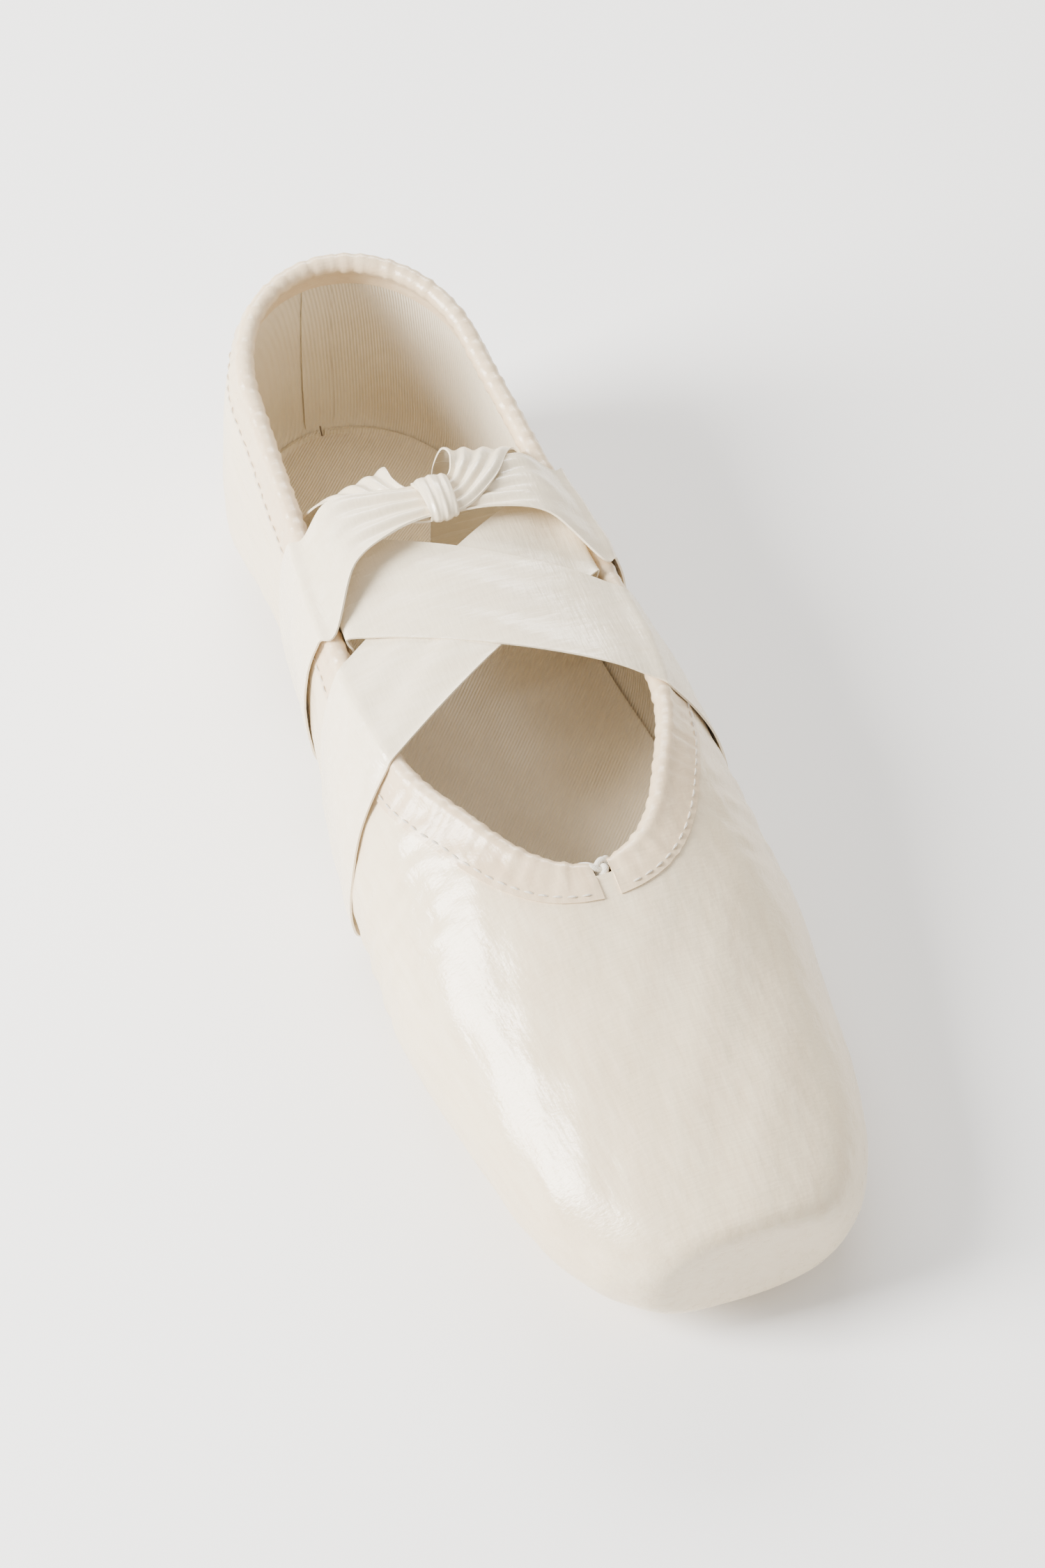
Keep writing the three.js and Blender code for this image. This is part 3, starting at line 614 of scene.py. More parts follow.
def ripple(p, *waves):
    """A gentle, fixed unevenness: each wave is (amplitude, lengths in mm along x, y and z, phase)."""
    total = 0
    for amplitude, lengths, phase in waves:
        arm = p[..., 0] / lengths[0] + p[..., 1] / lengths[1] + p[..., 2] / lengths[2]
        total = total + amplitude * np.sin(2 * math.pi * arm + phase)
    return total


def satin_relief(p, u, angle):
    """How far the satin stands out from the last, in millimetres."""
    soft = ripple(
        p, (0.10, (31, 47, 23), 0.4), (0.07, (-19, 29, 37), 2.1), (0.05, (13, -17, 11), 4.0),
        (0.035, (7, 9, -8), 1.3),
    )
    # Creases across the sides where the sole bends.
    ball = np.exp(-(((p[..., 1] - CREASES_Y) / 16) ** 2)) * smoothstep(np.abs(p[..., 0]), 22, 34)
    creases = ball * ripple(p, (0.22, (90, 7.5, 26), 0.0), (0.12, (60, 4.6, -31), 1.7))
    # Pleats gathered under the toe, fanning out from the tip of the outsole.
    turn = np.arctan2(p[..., 0], PLEATS_Y - p[..., 1])
    under = smoothstep(-angle, math.radians(28), math.radians(52)) * (1 - smoothstep(u, 0.2, 0.36))
    groove = np.exp(-((np.sin(13 * turn) / 0.34) ** 2))
    pleats = under * (0.3 - 0.95 * groove) * smoothstep(u, 0.004, 0.03)
    # Small gathers below the binding.
    drop = (top_angle(u) - angle) * 30
    near = np.exp(-np.maximum(drop, 0) / 7) * smoothstep(u, THROAT - 0.02, THROAT + 0.02)
    gathers = near * ripple(p, (0.13, (9, 5.5, 70), 0.3), (0.08, (5, 3.4, -60), 2.0))
    return soft + creases + pleats + gathers


def seam_roll(u, angle):
    """The satin turns in at the side seam."""
    seam = SEAM + SEAM_SLANT * np.sin(angle) ** 2
    distance = np.abs(seam - u) * LAST
    return -SEAM_FOLD * np.exp(-((distance / 0.9) ** 2))


def satin_point(u, angle, depth, side):
    p = last_point(u, angle, depth, side)
    lift = satin_relief(p, u, angle) + seam_roll(u, angle)
    return last_point(u, angle, depth - lift, side)


# ---- Upper ----
TOE_FILLET = 2.6  # roundness of the platform's rim
SATIN_UNDERTOE = 0.435 * THROAT  # the satin is whole under the toe up to here
UNDERTOE = 0.15 * THROAT  # and the lining up to here
SIDES = (("right", 1), ("left", -1))
SATIN_LAYER = (SATIN, -1, satin, "satin")
LINING_LAYER = (LINING, 1, cotton, "cotton")


def closing(u, edge, start):
    """The angle at which a layer ends below: whole under the toe, and then open for the sole."""
    return -QUARTER_TURN + (edge + QUARTER_TURN) * np.clip((u - start) / 0.04, 0, 1)


def toe_rows(face):
    """Rows from the middle of the platform over its rim: (place, inset, share of the way out)."""
    start = face / LAST
    rows = [(start, TOE_FILLET, share) for share in spread(0, 1, 10)[:-1]]
    for turn in spread(0, QUARTER_TURN, 6):
        place = start + TOE_FILLET * (1 - math.cos(turn)) / LAST
        rows.append((place, TOE_FILLET * (1 - math.sin(turn)), 1.0))
    return rows


def toe_grid(side, face, edge, start, point, columns):
    """A half of a toe layer, from the platform's middle to the side seam."""
    rim = toe_rows(face)
    places = np.concatenate([
        spread(rim[-1][0], THROAT, 70)[1:],
        THROAT + (SEAM - THROAT) * spread(0, 1, 60)[1:] ** 2,
    ])
    middle = np.array([0, TOE_Y + face, floor_at(0) + widest(0)])
    grid = []
    for u, inset, share in rim + [(u, 0.0, 1.0) for u in places]:
        angle = spread(closing(u, edge, start), float(top_angle(u)), columns)
        slanted = u + SEAM_SLANT * np.sin(angle) ** 2 * smoothstep(u, THROAT + 0.05, SEAM)
        angle = np.minimum(angle, top_angle(slanted))
        line = point(slanted, angle, inset, side)
        if share < 1:
            line[:, 1] = TOE_Y + face
            line = middle + (line - middle) * share
        grid.append(line)
    return np.array(grid)


def upper_piece(name, node, grids, height, layer, blend):
    thickness, offset, material, slot = layer
    piece = grids_object(name, grids)
    face_from(piece, height)
    make_cloth(piece, thickness, offset, material, slot, node)
    blend(piece)


def vamp():
    grids = [toe_grid(side, 0, SATIN_EDGE, SATIN_UNDERTOE, satin_point, 96) for _, side in SIDES]
    upper_piece("satin_vamp", "vamp_satin", grids, 18, SATIN_LAYER, blend_front)


def quarter_places(n, m):
    """Places from the side seam to the heel seam: n steps straight, and m round the heel."""
    fan = place_of(FAN_Y + HEEL_ROUND * np.sin(spread(0, QUARTER_TURN, m)))
    return np.concatenate([spread(SEAM, FAN, n)[:-1], fan])


def quarter_grid(side, edge, point, columns):
    grid = []
    for place in quarter_places(70, 36):
        angle = spread(edge, float(top_angle(place)), columns)
        near = max(0, 1 - (place - SEAM) / 0.12)
        u = place + near * (SEAM_SLANT * np.sin(angle) ** 2 + CLEARANCE / LAST)
        line = point(u, np.minimum(angle, top_angle(u)), 0.0, side)
        line[:, 0] += side * CLEARANCE / 2
        grid.append(line)
    return np.array(grid)


def quarters(name, node, edge, point, columns, layer):
    for end, side in SIDES:
        grid = quarter_grid(side, edge, point, columns)
        upper_piece(f"{name}_{end}", f"{node}_{end}", [grid], 30, layer, blend_back)


def lining_point(u, angle, depth, side):
    p = last_point(u, angle, depth, side)
    lift = ripple(p, (0.1, (23, 31, 19), 1.0), (0.06, (11, 15, -9), 0.2))
    return last_point(u, angle, lining_inner(u) - 0.02 + depth - lift * 0.5, side)


def linings():
    grids = [
        toe_grid(side, LINING_FACE, WALL_EDGE, UNDERTOE, lining_point, 60) for _, side in SIDES
    ]
    upper_piece("lining_vamp", "vamp_lining", grids, 20, LINING_LAYER, blend_front)
    quarters("lining_quarter", "quarter_lining", WALL_EDGE, lining_point, 48, LINING_LAYER)


vamp()
quarters("satin_quarter", "quarter_satin", SATIN_EDGE, satin_point, 84, SATIN_LAYER)
linings()


# ---- Inner pieces, copied from the CAD nodes and parted at the split ----
def bent_copy(node, name, material, slot):
    """A copy of a CAD node, parted at the split where it runs across it."""
    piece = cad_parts[node].copy()
    piece.data = piece.data.copy()
    piece.name = name
    piece.parent = None
    for key in list(piece.keys()):
        del piece[key]
    piece.hide_render = False
    piece.hide_viewport = False
    bpy.context.collection.objects.link(piece)
    bm = bmesh.new()
    bm.from_mesh(piece.data)
    bmesh.ops.remove_doubles(bm, verts=bm.verts, dist=WELD)
    bm.to_mesh(piece.data)
    bm.free()
    smooth(piece, 35)
    dress(piece, material, slot, node)
    bend_along(piece)


for inner, inner_name, inner_material, inner_slot in (
    ("box_canvas_ply", "toe_box_canvas", canvas, "canvas"),
    ("box_burlap_ply", "toe_box_burlap", canvas, "canvas"),
    ("sole_filler", "felt_filler", canvas, "canvas"),
    ("half_shank", "shank_stiffener", board, "board"),
    ("shank", "shank_board", board, "board"),
    ("insole_board", "insole", board, "board"),
    ("drawstring", "drawstring_cord", cord_cotton, "cotton"),
):
    bent_copy(inner, inner_name, inner_material, inner_slot)


# ---- Surfaces that trimmings are laid on ----
def surface_tree(point):
    """The whole upper's surface, for laying trimmings on it."""
    vertices, faces = [], []
    places = np.concatenate([spread(0.02, FAN, 120)[:-1], quarter_places(2, 40)[2:]])
    for side in (1, -1):
        lines = []
        for u in places:
            angle = spread(math.radians(-80), float(top_angle(u)), 70)
            lines.append(point(np.full(angle.shape, u), angle, 0.0, side))
        grid = np.array(lines)
        faces += grid_faces(grid.shape[0], grid.shape[1], len(vertices))
        vertices += grid.reshape(-1, 3).tolist()
    return BVHTree.FromPolygons([Vector(v) for v in vertices], faces)


satin_tree = surface_tree(satin_point)
lining_tree = surface_tree(lining_point)


AXIS_Z = 26  # height of the line along the slipper that its surfaces face away from


def laid(tree, point, lift):
    """The nearest point of a surface, raised by lift away from the slipper's middle line."""
    near, normal = tree.find_nearest(Vector(point))[:2]
    arm = Vector((near.x, 0, near.z - AXIS_Z))
    if near.y > FAN_Y:
        arm.y = near.y - FAN_Y
    if arm.dot(normal) < 0:
        normal = -normal
    return np.array(near + normal * lift)


# ---- Topline: binding, its stitches, and the drawstring ----
def edge_depth(u):
    return lining_inner(u) / 2


def binding_middle(u, side):
    """The middle of the binding beside a place, with its outward and upward directions."""
    near = 0.001

    def edge(at):
        return last_point(at, float(top_angle(at)), edge_depth(at), side)

    at_end = u <= THROAT + near or u >= 1 - near
    if at_end:
        along = np.array([side if u < SEAM else -side, 0, 0])
    else:
        along = edge(u + near) - edge(u - near)
    out = last_point(u, float(top_angle(u)), edge_depth(u) - 2, side) - edge(u)
    rise = np.cross(along, out) * -side
    rise /= np.linalg.norm(rise)
    out /= np.linalg.norm(out)
    return edge(u) + rise * (CASING_OUTER + 1.5 * CLEARANCE), out, rise


def topline_stations(spacing):
    """Evenly spaced stations once round the opening, from the throat: middle, outward, upward."""
    places = np.concatenate([
        THROAT + (SEAM - THROAT) * spread(0, 1, 60) ** 2, quarter_places(60, 40)[1:],
    ])
    rows = [binding_middle(float(u), 1) for u in places]
    rows += [binding_middle(float(u), -1) for u in places[::-1][1:]]
    columns = [np.array(column) for column in zip(*rows)]
    run = run_along(columns[0])
    at = spread(0, run[-1], int(run[-1] / spacing))
    return at, [points_at(at, run, column) for column in columns]


BINDING_GAP = 2.6  # left open at the throat
BINDING_LEG = 5.2  # how far the binding reaches down over the satin
BINDING_SATIN = 0.34  # thickness
BINDING_STITCHES = BINDING_LEG - 1.2  # how far down they are


def binding():
    at, (middle, out, rise) = topline_stations(0.8)
    kept = (at > BINDING_GAP / 2) & (at < at[-1] - BINDING_GAP / 2)
    inner_drops = (1.0, 2.2, 3.6, BINDING_LEG - 0.6)
    outer_drops = (BINDING_LEG, BINDING_LEG - 0.8, 3.6, 2.2, 1.0)
    rows = []
    for s, m, o, r in zip(at[kept], middle[kept], out[kept], rise[kept]):
        pucker = 0.16 * math.sin(s * 2.1) + 0.11 * math.sin(s * 1.37 + 1) + 0.06 * math.sin(s * 3.3 + 2)
        near_end = min(s, at[-1] - s)
        round_radius = (CASING_OUTER + 0.1) * (0.8 + 0.2 * float(smoothstep(near_end, 0, 6)))
        row = []
        for drop in outer_drops:
            lift = 0.38 + pucker * 0.8 * smoothstep(drop, BINDING_LEG + 1, 1)
            row.append(laid(satin_tree, m - r * (CASING_OUTER + drop) + o, float(lift)))
        for turn in np.radians(spread(-28, 208, 14)):
            reach = round_radius + pucker * 0.7
            row.append(m + o * reach * math.cos(turn) + r * reach * math.sin(turn))
        for drop in inner_drops:
            row.append(laid(lining_tree, m - r * (CASING_OUTER + drop) - o, -0.35))
        rows.append(row)
    piece = grids_object("topline_binding_satin", [np.array(rows)])
    # The binding gets the darker satin, which paints the shade along the topline.
    make_cloth(piece, BINDING_SATIN, -1, shaded_binding_satin, "satin", "topline_binding")
    bend_along(piece)


def stitch_row(name, points, normals, length=1.9, pitch=2.7, radius=0.22):
    """Stitches along a line of points: each is a short bead of thread, pulled in at its ends."""
    run = run_along(points)
    vertices, faces = [], []
    rings, sides = 7, 6
    t = spread(0, 1, rings - 1)
    bow = np.sin(t * math.pi)
    for first in np.arange(pitch / 2, run[-1] - length, pitch):
        centre = points_at(first + t * length, run, points)
        normal = points_at(first + t * length, run, normals)
        along = np.gradient(centre, axis=0)
        along /= np.linalg.norm(along, axis=1, keepdims=True)
        across = np.cross(along, normal)
        faces += ring_faces(rings, sides, len(vertices))
        for k in range(rings):
            wide = radius * max(0.25, bow[k] ** 0.5)
            for turn in spread(0, 2 * math.pi, sides)[:-1]:
                arm = across[k] * math.cos(turn) * wide + normal[k] * math.sin(turn) * wide
                vertices.append(centre[k] + normal[k] * (bow[k] * 0.25 - 0.1) + arm)
    piece = mesh_object(name, vertices, faces, FINE_WELD)
    smooth(piece)
    dress(piece, thread, "cotton")
    return piece


def islands(bm):
    """The vertices of each separate shell of a mesh."""
    seen = set()
    for seed in bm.verts:
        if seed in seen:
            continue
        seen.add(seed)
        island = [seed]
        for vertex in island:
            others = [edge.other_vert(vertex) for edge in vertex.link_edges]
            fresh = [other for other in others if other not in seen]
            seen.update(fresh)
            island += fresh
        yield island


def part_by_pieces(piece):
    """Sends each separate stitch to the front or the rear part, whole."""
    rear = rear_copy(piece)
    for part, front in ((piece, True), (rear, False)):
        bm = bmesh.new()
        bm.from_mesh(part.data)
        gone = []
        for island in islands(bm):
            middle = sum(vertex.co.y for vertex in island) / len(island)
            if (middle < SPLIT_Y * MM) != front:
                gone += island
        bmesh.ops.delete(bm, geom=gone, context="VERTS")
        bm.to_mesh(part.data)
        bm.free()
    blend_front(piece)
    blend_back(rear)


def binding_stitches():
    at, (middle, out, rise) = topline_stations(1.0)
    kept = (at > 3) & (at < at[-1] - 3)
    start = (middle - rise * (CASING_OUTER + BINDING_STITCHES) + out)[kept]
    points = np.array([laid(satin_tree, p, 0.46) for p in start])
    raised = np.array([laid(satin_tree, p, 1.46) for p in start])
    part_by_pieces(stitch_row("binding_stitches", points, raised - points))


def tube(points, radius):
    """The vertices and faces of a closed tube along a line of points."""
    sides = 10
    points = np.array(points, float)
    along = np.gradient(points, axis=0)
    along /= np.linalg.norm(along, axis=1, keepdims=True)
    across = np.cross(along[0], [0, 0, 1.0])
    if np.linalg.norm(across) < 0.1:
        across = np.cross(along[0], [0, 1.0, 0])
    rows = []
    for p, t in zip(points, along):
        across = across - t * across.dot(t)
        across /= np.linalg.norm(across)
        third = np.cross(t, across)
        rows.append([
            p + radius * (across * math.cos(turn) + third * math.sin(turn))
            for turn in spread(0, 2 * math.pi, sides)[:-1]
        ])
    return np.array(rows).reshape(-1, 3).tolist(), ring_faces(len(rows), sides)


def curve_through(points, n):
    """A smooth line through points (Catmull-Rom, spaced by the root of the chord)."""
    p = np.array(points, float)
    p = np.vstack([2 * p[0] - p[1], p, 2 * p[-1] - p[-2]])
    line = []
    for i in range(1, len(p) - 2):
        knots = [0.0]
        for j in range(3):
            knots.append(knots[-1] + max(1e-4, np.linalg.norm(p[i + j] - p[i + j - 1])) ** 0.5)
        t0, t1, t2, t3 = knots
        for t in np.linspace(t1, t2, n, endpoint=i == len(p) - 3):
            a1 = p[i - 1] * (t1 - t) / (t1 - t0) + p[i] * (t - t0) / (t1 - t0)
            a2 = p[i] * (t2 - t) / (t2 - t1) + p[i + 1] * (t - t1) / (t2 - t1)
            a3 = p[i + 1] * (t3 - t) / (t3 - t2) + p[i + 2] * (t - t2) / (t3 - t2)
            b1 = a1 * (t2 - t) / (t2 - t0) + a2 * (t - t0) / (t2 - t0)
            b2 = a2 * (t3 - t) / (t3 - t1) + a3 * (t - t1) / (t3 - t1)
            line.append(b1 * (t2 - t) / (t2 - t1) + b2 * (t - t1) / (t2 - t1))
    return np.array(line)


def drawstring_knot():
    """The drawstring's ends come out of the binding, and are knotted and tucked inside."""
    low, high = corner_mm("drawstring_knot")
    centre = (low + high) / 2
    radius = 0.62
    trefoil = []
    for t in spread(0, 2 * math.pi, 72):
        x = math.sin(t) + 2 * math.sin(2 * t)
        y = 0.9 * (math.cos(t) - 2 * math.cos(2 * t))
        z = 0.8 - 1.1 * math.sin(3 * t)
        trefoil.append(centre + radius * np.array([x, y, z]))
    tail = ((0.6, 0.4, 0.4), (2.0, 2.4, -0.6), (3.4, 4.6, -4.0))
    from_casing = ((0.5, 0, 0.3), (1.6, 0.05, 0.1), (3.4, 0.3, 0.0))
    lines = [trefoil]
    for side, route in (
        (1, (*tail, (5.0, 5.4, -8.5))), (-1, (*tail, (3.4, 5.4, -8.5))),
        (1, from_casing), (-1, from_casing),
    ):
        lines.append(curve_through([centre + np.array(step) * (side, 1, 1) for step in route], 8))
    vertices, faces = [], []
    for line in lines:
        made, sides = tube(line, radius)
        faces += [[index + len(vertices) for index in face] for face in sides]
        vertices += made
    piece = mesh_object("drawstring_ends", vertices, faces, FINE_WELD)
    smooth(piece, 60)
    dress(piece, cord_cotton, "cotton", "drawstring_knot")
    blend_front(piece)


binding()
binding_stitches()
drawstring_knot()


# ---- Heel strip and seams ----
def heel_strip():
    reach = math.radians(9)
    lines = []
    for turn in spread(-reach, reach, 20):
        u = place_of(FAN_Y + HEEL_ROUND * math.cos(turn))
        side = 1 if turn >= 0 else -1
        share = abs(turn) / reach
        angle = spread(math.radians(-42), float(top_angle(u)) - math.radians(1), 60)
        u = np.full(angle.shape, u)
        p = last_point(u, angle, 0, side)
        stand = CLEARANCE * 0.6 + STRIP - 0.35 * share**6
        lift = satin_relief(p, u, angle) + stand + ripple(p, (0.05, (7, 9, 6), 0))
        lines.append(last_point(u, angle, -lift, side))
    piece = grids_object("heel_strip_satin", [np.array(lines)])
    face_along(piece, 1, 1)
    make_cloth(piece, STRIP - 0.1, -1, satin, "satin", "heel_strip")
    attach(piece, "heel")
    for name, line in (("left", lines[2]), ("right", lines[-3])):
        points = np.array(line)[2:-2]
        normals = np.array([laid(satin_tree, p, 2.0) - laid(satin_tree, p, 1.0) for p in points])
        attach(stitch_row(f"heel_strip_stitches_{name}", points, normals), "heel")


def heel_seam_tape():
    """A narrow cotton tape over the linings' seam, inside the heel."""
    half = 3.2
    lines = []
    for x in spread(-half, half, 12):
        line = []
        for z in spread(SOCK_TOP + 3, float(topline(1)) - 1.5, 40):
            puff = 0.17 + 0.08 * math.cos(x) + 0.04 * math.sin(z / 2.3)
            near = lining_tree.find_nearest(Vector((x, HEEL_Y - 6, z)))[0]
            line.append((x, near.y - puff - 0.02 * x * x, near.z))
        lines.append(line)
    piece = grids_object("heel_seam_tape", [np.array(lines)])
    face_along(piece, 1, -1)
    make_cloth(piece, 0.22, -1, cotton, "cotton")
    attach(piece, "heel")


def seam_stitches():
    """A row of stitches beside each side seam, on the quarter."""
    for name, side in SIDES[::-1]:
        angle = spread(math.radians(-60), float(top_angle(SEAM)) - math.radians(11), 60)
        u = SEAM + SEAM_SLANT * np.sin(angle) ** 2 + 2.2 / LAST
        points = satin_point(u, angle, -0.12, side)
        normals = satin_point(u, angle, -1.12, side) - points
        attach(stitch_row(f"side_seam_stitches_{name}", points, normals), "waist")


heel_strip()
heel_seam_tape()
seam_stitches()


# ---- Sole ----
OUTSOLE_START = 0.1  # places of its tip and its heel end
OUTSOLE_END = place_of(HEEL_Y - 12)
OUTSOLE_TIP = 17  # lengths of its two round ends
OUTSOLE_HEEL = 20
STITCH_GROOVE = 2.6  # from the outsole's edge
outsole_half = through([
    (0, 14), (0.1, 19), (0.2, 25), (0.31, 27), (0.44, 21), (0.56, 16), (0.7, 15.5), (0.862, 18),
    (1, 18),
])


def outsole_rows():
    """Half widths of the round-ended outsole: rows of (place, half width)."""
    span = (OUTSOLE_END - OUTSOLE_START) * LAST
    ends = 1 - np.cos(spread(0, QUARTER_TURN, 14))
    front = ends * OUTSOLE_TIP / span
    back = 1 - ends * OUTSOLE_HEEL / span
    rows = []
    for share in np.concatenate([front[:-1], spread(front[-1], back[-1], 110), back[::-1][1:]]):
        to_front = max(0, 1 - share * span / OUTSOLE_TIP)
        to_back = max(0, 1 - (1 - share) * span / OUTSOLE_HEEL)
        u = OUTSOLE_START + (OUTSOLE_END - OUTSOLE_START) * share
        rows.append((u, float(outsole_half(u)) * math.sqrt(max(0, 1 - to_front**2 - to_back**2))))
    return rows


def satin_bottom(u, x):
    """Height of the satin's underside beside the middle, in front of the heel's round."""
    across = BALL_WIDTH * width_share(u)
    out = np.clip(np.abs(x) / across, 0, 0.98)
    sine = np.sqrt(1 - out ** lower_power(u))
    return floor_at(u) + widest(u) - (widest(u) - UPPER_LIFT) * sine ** (2 / lower_power(u))


def outsole_profile(place, half):
    """The outsole's section on one side, from its middle out: x, and z of its top and its bottom."""
    u = min(place, FAN)
    edge = 1 - 0.14 * (1 - np.sin(spread(0, QUARTER_TURN, 6)[1:]))
    across = np.concatenate([spread(0, 0.86, 14), edge])
    x = across * half
    top = satin_bottom(u, x) - 0.12
    thick = OUTSOLE + 0.45 - 1.0 * smoothstep(across, 0.72, 1)
    shift = float(floor_at(place) - floor_at(u))
    return x, top + shift, np.maximum(top - thick, floor_at(u)) + shift


def outsole():
    loop = []
    for u, half in outsole_rows():
        half = max(half, 0.4)
        x, high, low = outsole_profile(u, half)
        groove = 0.35 * np.exp(-(((x - (half - STITCH_GROOVE)) / 0.5) ** 2))
        low = low + groove * (half > 6)
        xs = np.concatenate([-x[::-1], x[1:], x[::-1], -x[1:]])
        zs = np.concatenate([high[::-1], high[1:], low[::-1], low[1:]])
        row = [(a, TOE_Y + u * LAST, b) for a, b in zip(xs, zs)]
        loop.append(row + row[:1])
    loop = np.array(loop)
    vertices = loop.reshape(-1, 3).tolist()
    m, n = loop.shape[:2]
    faces = grid_faces(m, n)
    faces.append(list(range(n - 1)))
    faces.append([(m - 1) * n + j for j in range(n - 1)][::-1])
    piece = mesh_object("outsole_leather", vertices, faces)
    smooth(piece, 40)
    dress(piece, suede, "suede", "outsole")
    bend_along(piece)


def outsole_stitches():
    right = []
    for u, half in outsole_rows():
        if half > 7:
            across, _, low = outsole_profile(u, half)
            x = half - STITCH_GROOVE
            right.append((x, TOE_Y + u * LAST, float(np.interp(x, across, low)) + 0.3))
    left = [(-x, y, z) for x, y, z in right[::-1]]
    points = np.array(right + left + right[:1])
    normals = np.tile([0, 0, -1.0], (len(points), 1))
    part_by_pieces(stitch_row("outsole_stitches", points, normals, 2.6, 3.6, 0.24))


def footbed():
    """The sock, spread to the walls and turned up a little against them."""
    start = 0.06
    grid = []
    fan = FAN_Y + HEEL_ROUND * np.sin(spread(0, 0.985 * QUARTER_TURN, 30))
    t = spread(-1, 1, 48)
    for u in np.concatenate([spread(start, FAN, 90)[:-1], place_of(fan)]):
        level = min(SOCK_TOP, float(widest(u)) - 1)
        depth = float(lining_inner(u)) + 0.25
        down = widest(u) - UPPER_LIFT - depth
        sine = np.clip((widest(u) - level) / down, 0, 0.999) ** (lower_power(u) / 2)
        angle = -math.asin(float(sine))
        wall = last_point(u, angle, depth, 1)
        front = smoothstep(u, start, start + 0.05)
        turn_up = 1.1 * np.abs(t) ** 14 + 0.5 * (1 - front)
        line = np.stack([t * wall[0], np.full(t.shape, wall[1]), np.zeros(t.shape)], axis=-1)
        uneven = ripple(line, (0.1, (21, 33, 9), 0.5), (0.06, (9, 14, 9), 2))
        line[:, 2] = floor_at(u) + level + turn_up + uneven
        grid.append(line)
    piece = grids_object("sock_liner_cotton", [np.array(grid)])
    face_along(piece, 2, 1)
    make_cloth(piece, SOCK, -1, cotton, "cotton", "sock_liner")
    bend_along(piece)


outsole()
outsole_stitches()
footbed()


# ---- Ribbons ----
def on_ribbon(start, offset, point_at):
    """Where a line along the last, point_at(place), meets a ribbon's plane."""
    def y_of(x):
        return RIBBON_Y + offset / math.cos(RIBBON_TURN) + start * math.tan(RIBBON_TURN) * x

    point = point_at(place_of(y_of(0)))
    for _ in range(12):
        point = point_at(place_of(y_of(point[0])))
    point[1] = y_of(point[0])
    return point


# Each part of a ribbon's route is a list of such lines along the last.
def up_lining(side, shares):
    def line_at(share):
        def point_at(u):
            depth = lining_inner(u) + LAYER_GAP + 0.25
            return last_point(u, share * float(top_angle(u)), depth, side)
        return point_at
    return [line_at(share) for share in shares]


def round_edge(side, reach, degrees):
    """Round the topline: 0 degrees is outwards, and 90 is up."""
    def line_at(turn):
        arm = np.array([side * math.cos(turn), 0, math.sin(turn)])
        return lambda u: binding_middle(u, side)[0] + reach * arm
    return [line_at(math.radians(turn)) for turn in degrees]


def over_opening(start, stand, lift):
    def line_at(share):
        def point_at(u):
            middle = binding_middle(u, 1)[0]
            level = lift * min(1, 4 * (1 - abs(share)))
            rise = stand + RIBBON_ARCH * (1 - share**2) + level
            return np.array([start * share * middle[0], 0, middle[2] + rise])
        return point_at
    return [line_at(share) for share in spread(0.93, -0.93, 11)]


def round_last(side, shares, stand, under):
    """Between the sole's middle, share 0, and the topline: stand and under are the gaps at both."""
    def line_at(share):
        def point_at(u):
            top = float(top_angle(u)) - math.radians(4)
            angle = -QUARTER_TURN + (top + QUARTER_TURN) * share
            low = float(smoothstep(-angle, math.radians(5), math.radians(50)))
            high = float(smoothstep(share, 0.72, 0.96))
            near = RIBBON_STAND + (stand - RIBBON_STAND) * high
            return last_point(u, angle, -(near + (under - near) * low), side)
        return point_at
    return [line_at(share) for share in shares]


def ribbon_points(start, offset, lift):
    """A line of the ribbon: out of the slipper, over the instep, under the arch and up to the knot."""
    against = CASING_OUTER + CLEARANCE + 0.35
    under = UPPER_LIFT + 0.7 + (0 if lift > 0 else 0.75)
    shares = (0, 0.1, 0.2, 0.3, 0.42, 0.55, 0.7, 0.85, 0.96)
    route = up_lining(start, (0.1, 0.35, 0.65))
    route += round_edge(start, against + 0.3, (195, 165, 140))
    route += over_opening(start, against, lift)
    route += round_edge(-start, against, (60, 20))
    route += round_last(-start, shares[::-1], 1.15, under)
    route += round_last(start, shares[1:], 1.5, under)
    route += round_edge(start, against + 0.95, (0, 40, 80))
    return [on_ribbon(start, offset, point_at) for point_at in route]


def ribbon_tail(start, share, lift):
    """The free end, through the knot and down inside. Stops are place, width, turn."""
    back = 0.5 if lift > 0 else -0.6
    rim = BALL_WIDTH * float(width_share(place_of(KNOT_Y)))
    tail = place_of(TAIL_Y)
    wall = BALL_WIDTH * float(width_share(tail)) - float(lining_inner(tail))
    reach = wall - 5 * CLEARANCE - TAIL_WIDTH / 2
    stops = [
        ((0.66 * rim, -1, -1.6), 17, 0),
        ((0.36 * rim, 0, -0.1), 12, 0),
        ((4, 0, 0), KNOT_WIDTH, 0),
        ((-4, 0, 0), KNOT_WIDTH, 0),
        ((-0.6 * reach, 4.5, back), 0.5 * TAIL_WIDTH, 40),
        ((-0.8 * reach, 11, -2), 0.65 * TAIL_WIDTH, 70),
        ((-0.9 * reach, 15, -9), 0.85 * TAIL_WIDTH, 82),
        ((-0.97 * reach, 17, -18), 0.95 * TAIL_WIDTH, 86),
        ((-reach, 18, -28), TAIL_WIDTH, 86),
        ((-reach, 18.5, -37), TAIL_WIDTH, 86),
    ]
    points = []
    for (x, y, z), width, turn in stops:
        across = np.array([start * math.sin(math.radians(turn)), math.cos(math.radians(turn)), 0])
        middle = np.array([start * x, KNOT_Y + y, KNOT_Z + z + lift])
        points.append(middle + across * width * (share - 0.5))
    return points


def at_edges(t, width):
    return np.exp(-((t / width) ** 2)) + np.exp(-(((1 - t) / width) ** 2))


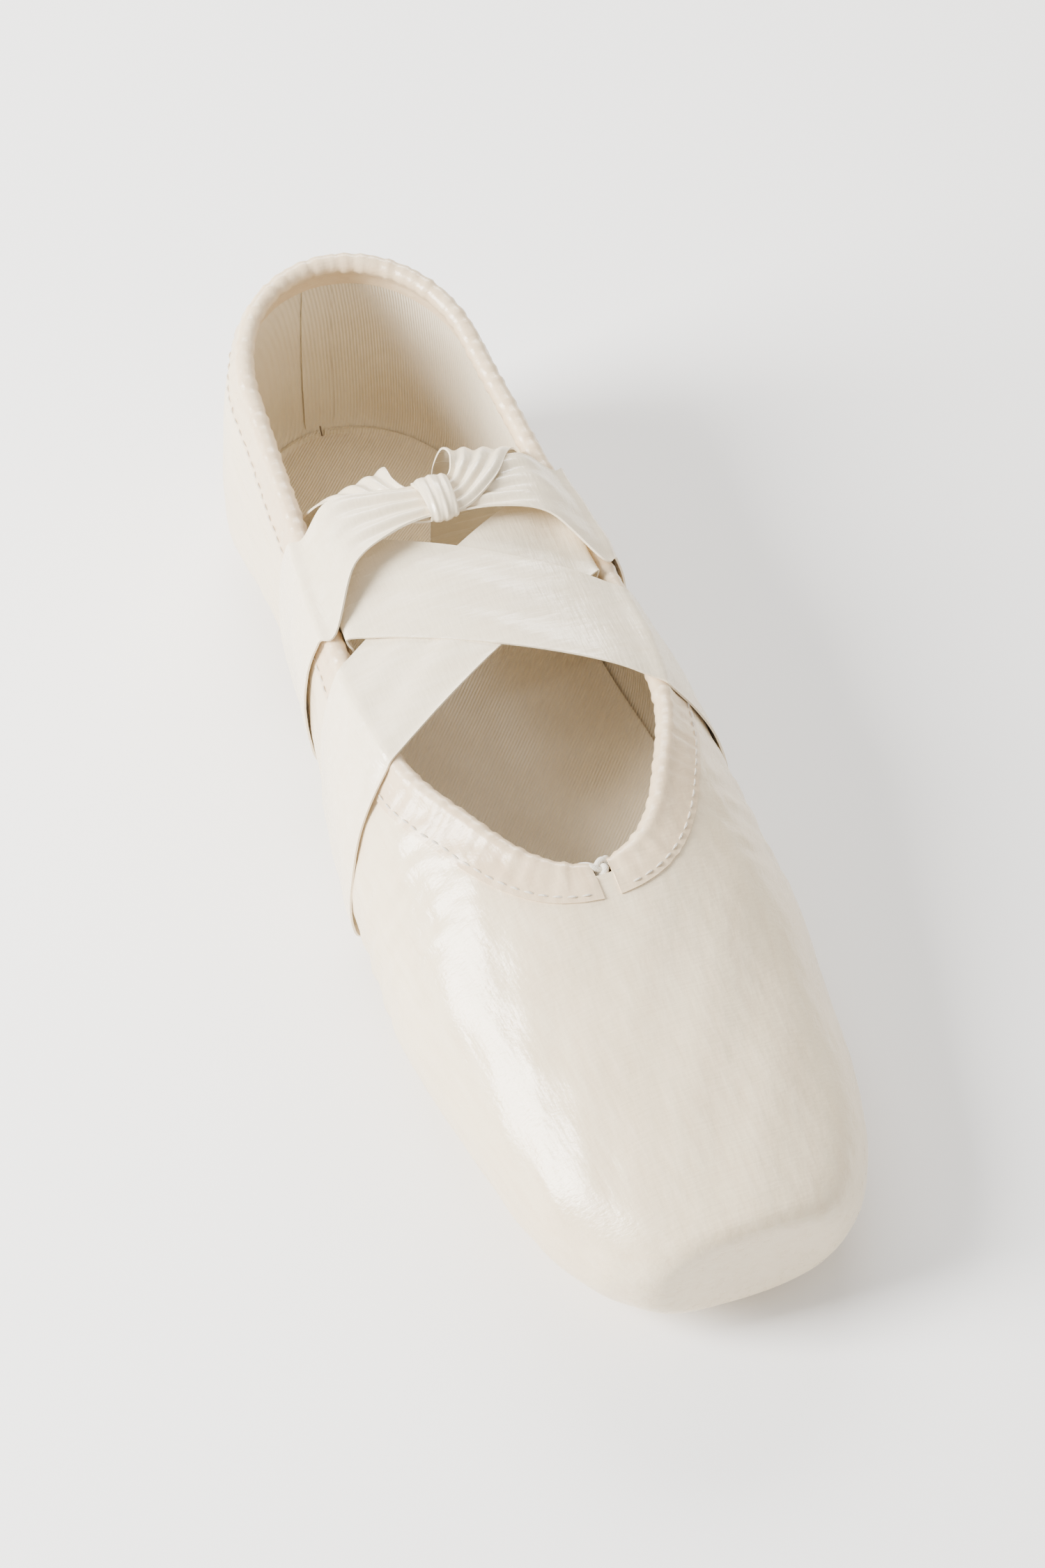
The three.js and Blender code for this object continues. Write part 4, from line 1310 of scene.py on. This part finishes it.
def ribbon(name, node, start, lift):
    shares = spread(0, 1, 6)
    lines = []
    for share in shares:
        points = ribbon_points(start, (share - 0.5) * RIBBON_WIDTH, lift)
        points += ribbon_tail(start, share, lift)
        lines.append(curve_through(points, 9))
    lines = np.array(lines)
    half = 22  # columns to the ribbon's middle
    fine = spread(0, 1, 2 * half)
    grid = np.stack([points_at(fine, shares, lines[:, i]) for i in range(lines.shape[1])])
    run = run_along(grid[:, half])
    along = np.gradient(grid, axis=0)
    across = np.gradient(grid, axis=1)
    normal = np.cross(along, across)
    normal *= -start / np.maximum(np.linalg.norm(normal, axis=-1, keepdims=True), 1e-9)
    width = np.linalg.norm(grid[:, -1] - grid[:, 0], axis=1)
    gather = smoothstep(RIBBON_WIDTH - width, 2, 11)[:, None]
    s = run[:, None]
    t = fine[None, :]
    folds = gather * 0.42 * np.sin(2 * math.pi * (3.5 * t + 0.02 * s))
    waves = (1 - gather) * (0.07 * np.sin(s / 8.5 + 4 * t) + 0.05 * np.sin(s / 3.7 - 6 * t))
    drags = (1 - gather) * 0.13 * np.sin(2 * math.pi * (2.3 * t + s / 64)) * np.sin(s / 19 + start)
    bows = (1 - gather) * 0.14 * np.sin(2 * math.pi * (0.9 * t - s / 47) + start)
    turned_in = (gather - 1) * 0.22 * at_edges(t, 0.09)
    selvedge = 0.07 * at_edges(t, 0.02)
    grid = grid + normal * (folds + waves + drags + bows + turned_in + selvedge)[..., None]
    piece = grids_object(name, [grid])
    make_cloth(piece, RIBBON, 0, ribbon_satin, "ribbon_satin", node)
    blend_back(piece)


def ribbon_knot():
    """The turn of ribbon round the crossing, drawn tight, with soft creases round it."""
    rows = []
    for turn in spread(0, 2 * math.pi, 64)[:-1]:
        row = []
        for t in spread(-1, 1, 26):
            crease = 0.16 * math.sin(9 * t + 0.6 * math.sin(turn)) + 0.08 * math.sin(17 * t + 2 * turn)
            pinch = 1 - 0.10 * t * t
            reach_y = (KNOT_WIDTH / 2 + 1.25) * pinch + crease * 0.6
            reach_z = 2.45 * pinch + crease + 0.35 * (1 - t * t)
            x = 3.1 * t * (1 + 0.10 * math.cos(turn))
            row.append((x, KNOT_Y + reach_y * math.cos(turn), KNOT_Z + reach_z * math.sin(turn)))
        rows.append(row)
    rows.append(rows[0])
    piece = grids_object("ribbon_knot", [np.array(rows)])
    face_from(piece, KNOT_Z)
    make_cloth(piece, 0.7, -1, ribbon_satin, "ribbon_satin", "ribbon_knot_turn")
    blend_back(piece)


ribbon("satin_ribbon_left", "ribbon_left", -1, RIBBON_LIFT)
ribbon("satin_ribbon_right", "ribbon_right", 1, -RIBBON_LIFT)
ribbon_knot()


# ---- CAD nodes that keep their shape get their finish ----
for kept_node, node_material in (
    ("platform_block", canvas),
    ("side_seam_tape_left", cotton),
    ("side_seam_tape_right", cotton),
    ("heel_counter", board),
    ("tack_left", brass),
    ("tack_right", brass),
):
    for material_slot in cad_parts[kept_node].material_slots:
        material_slot.material = node_material

bpy.context.view_layer.update()
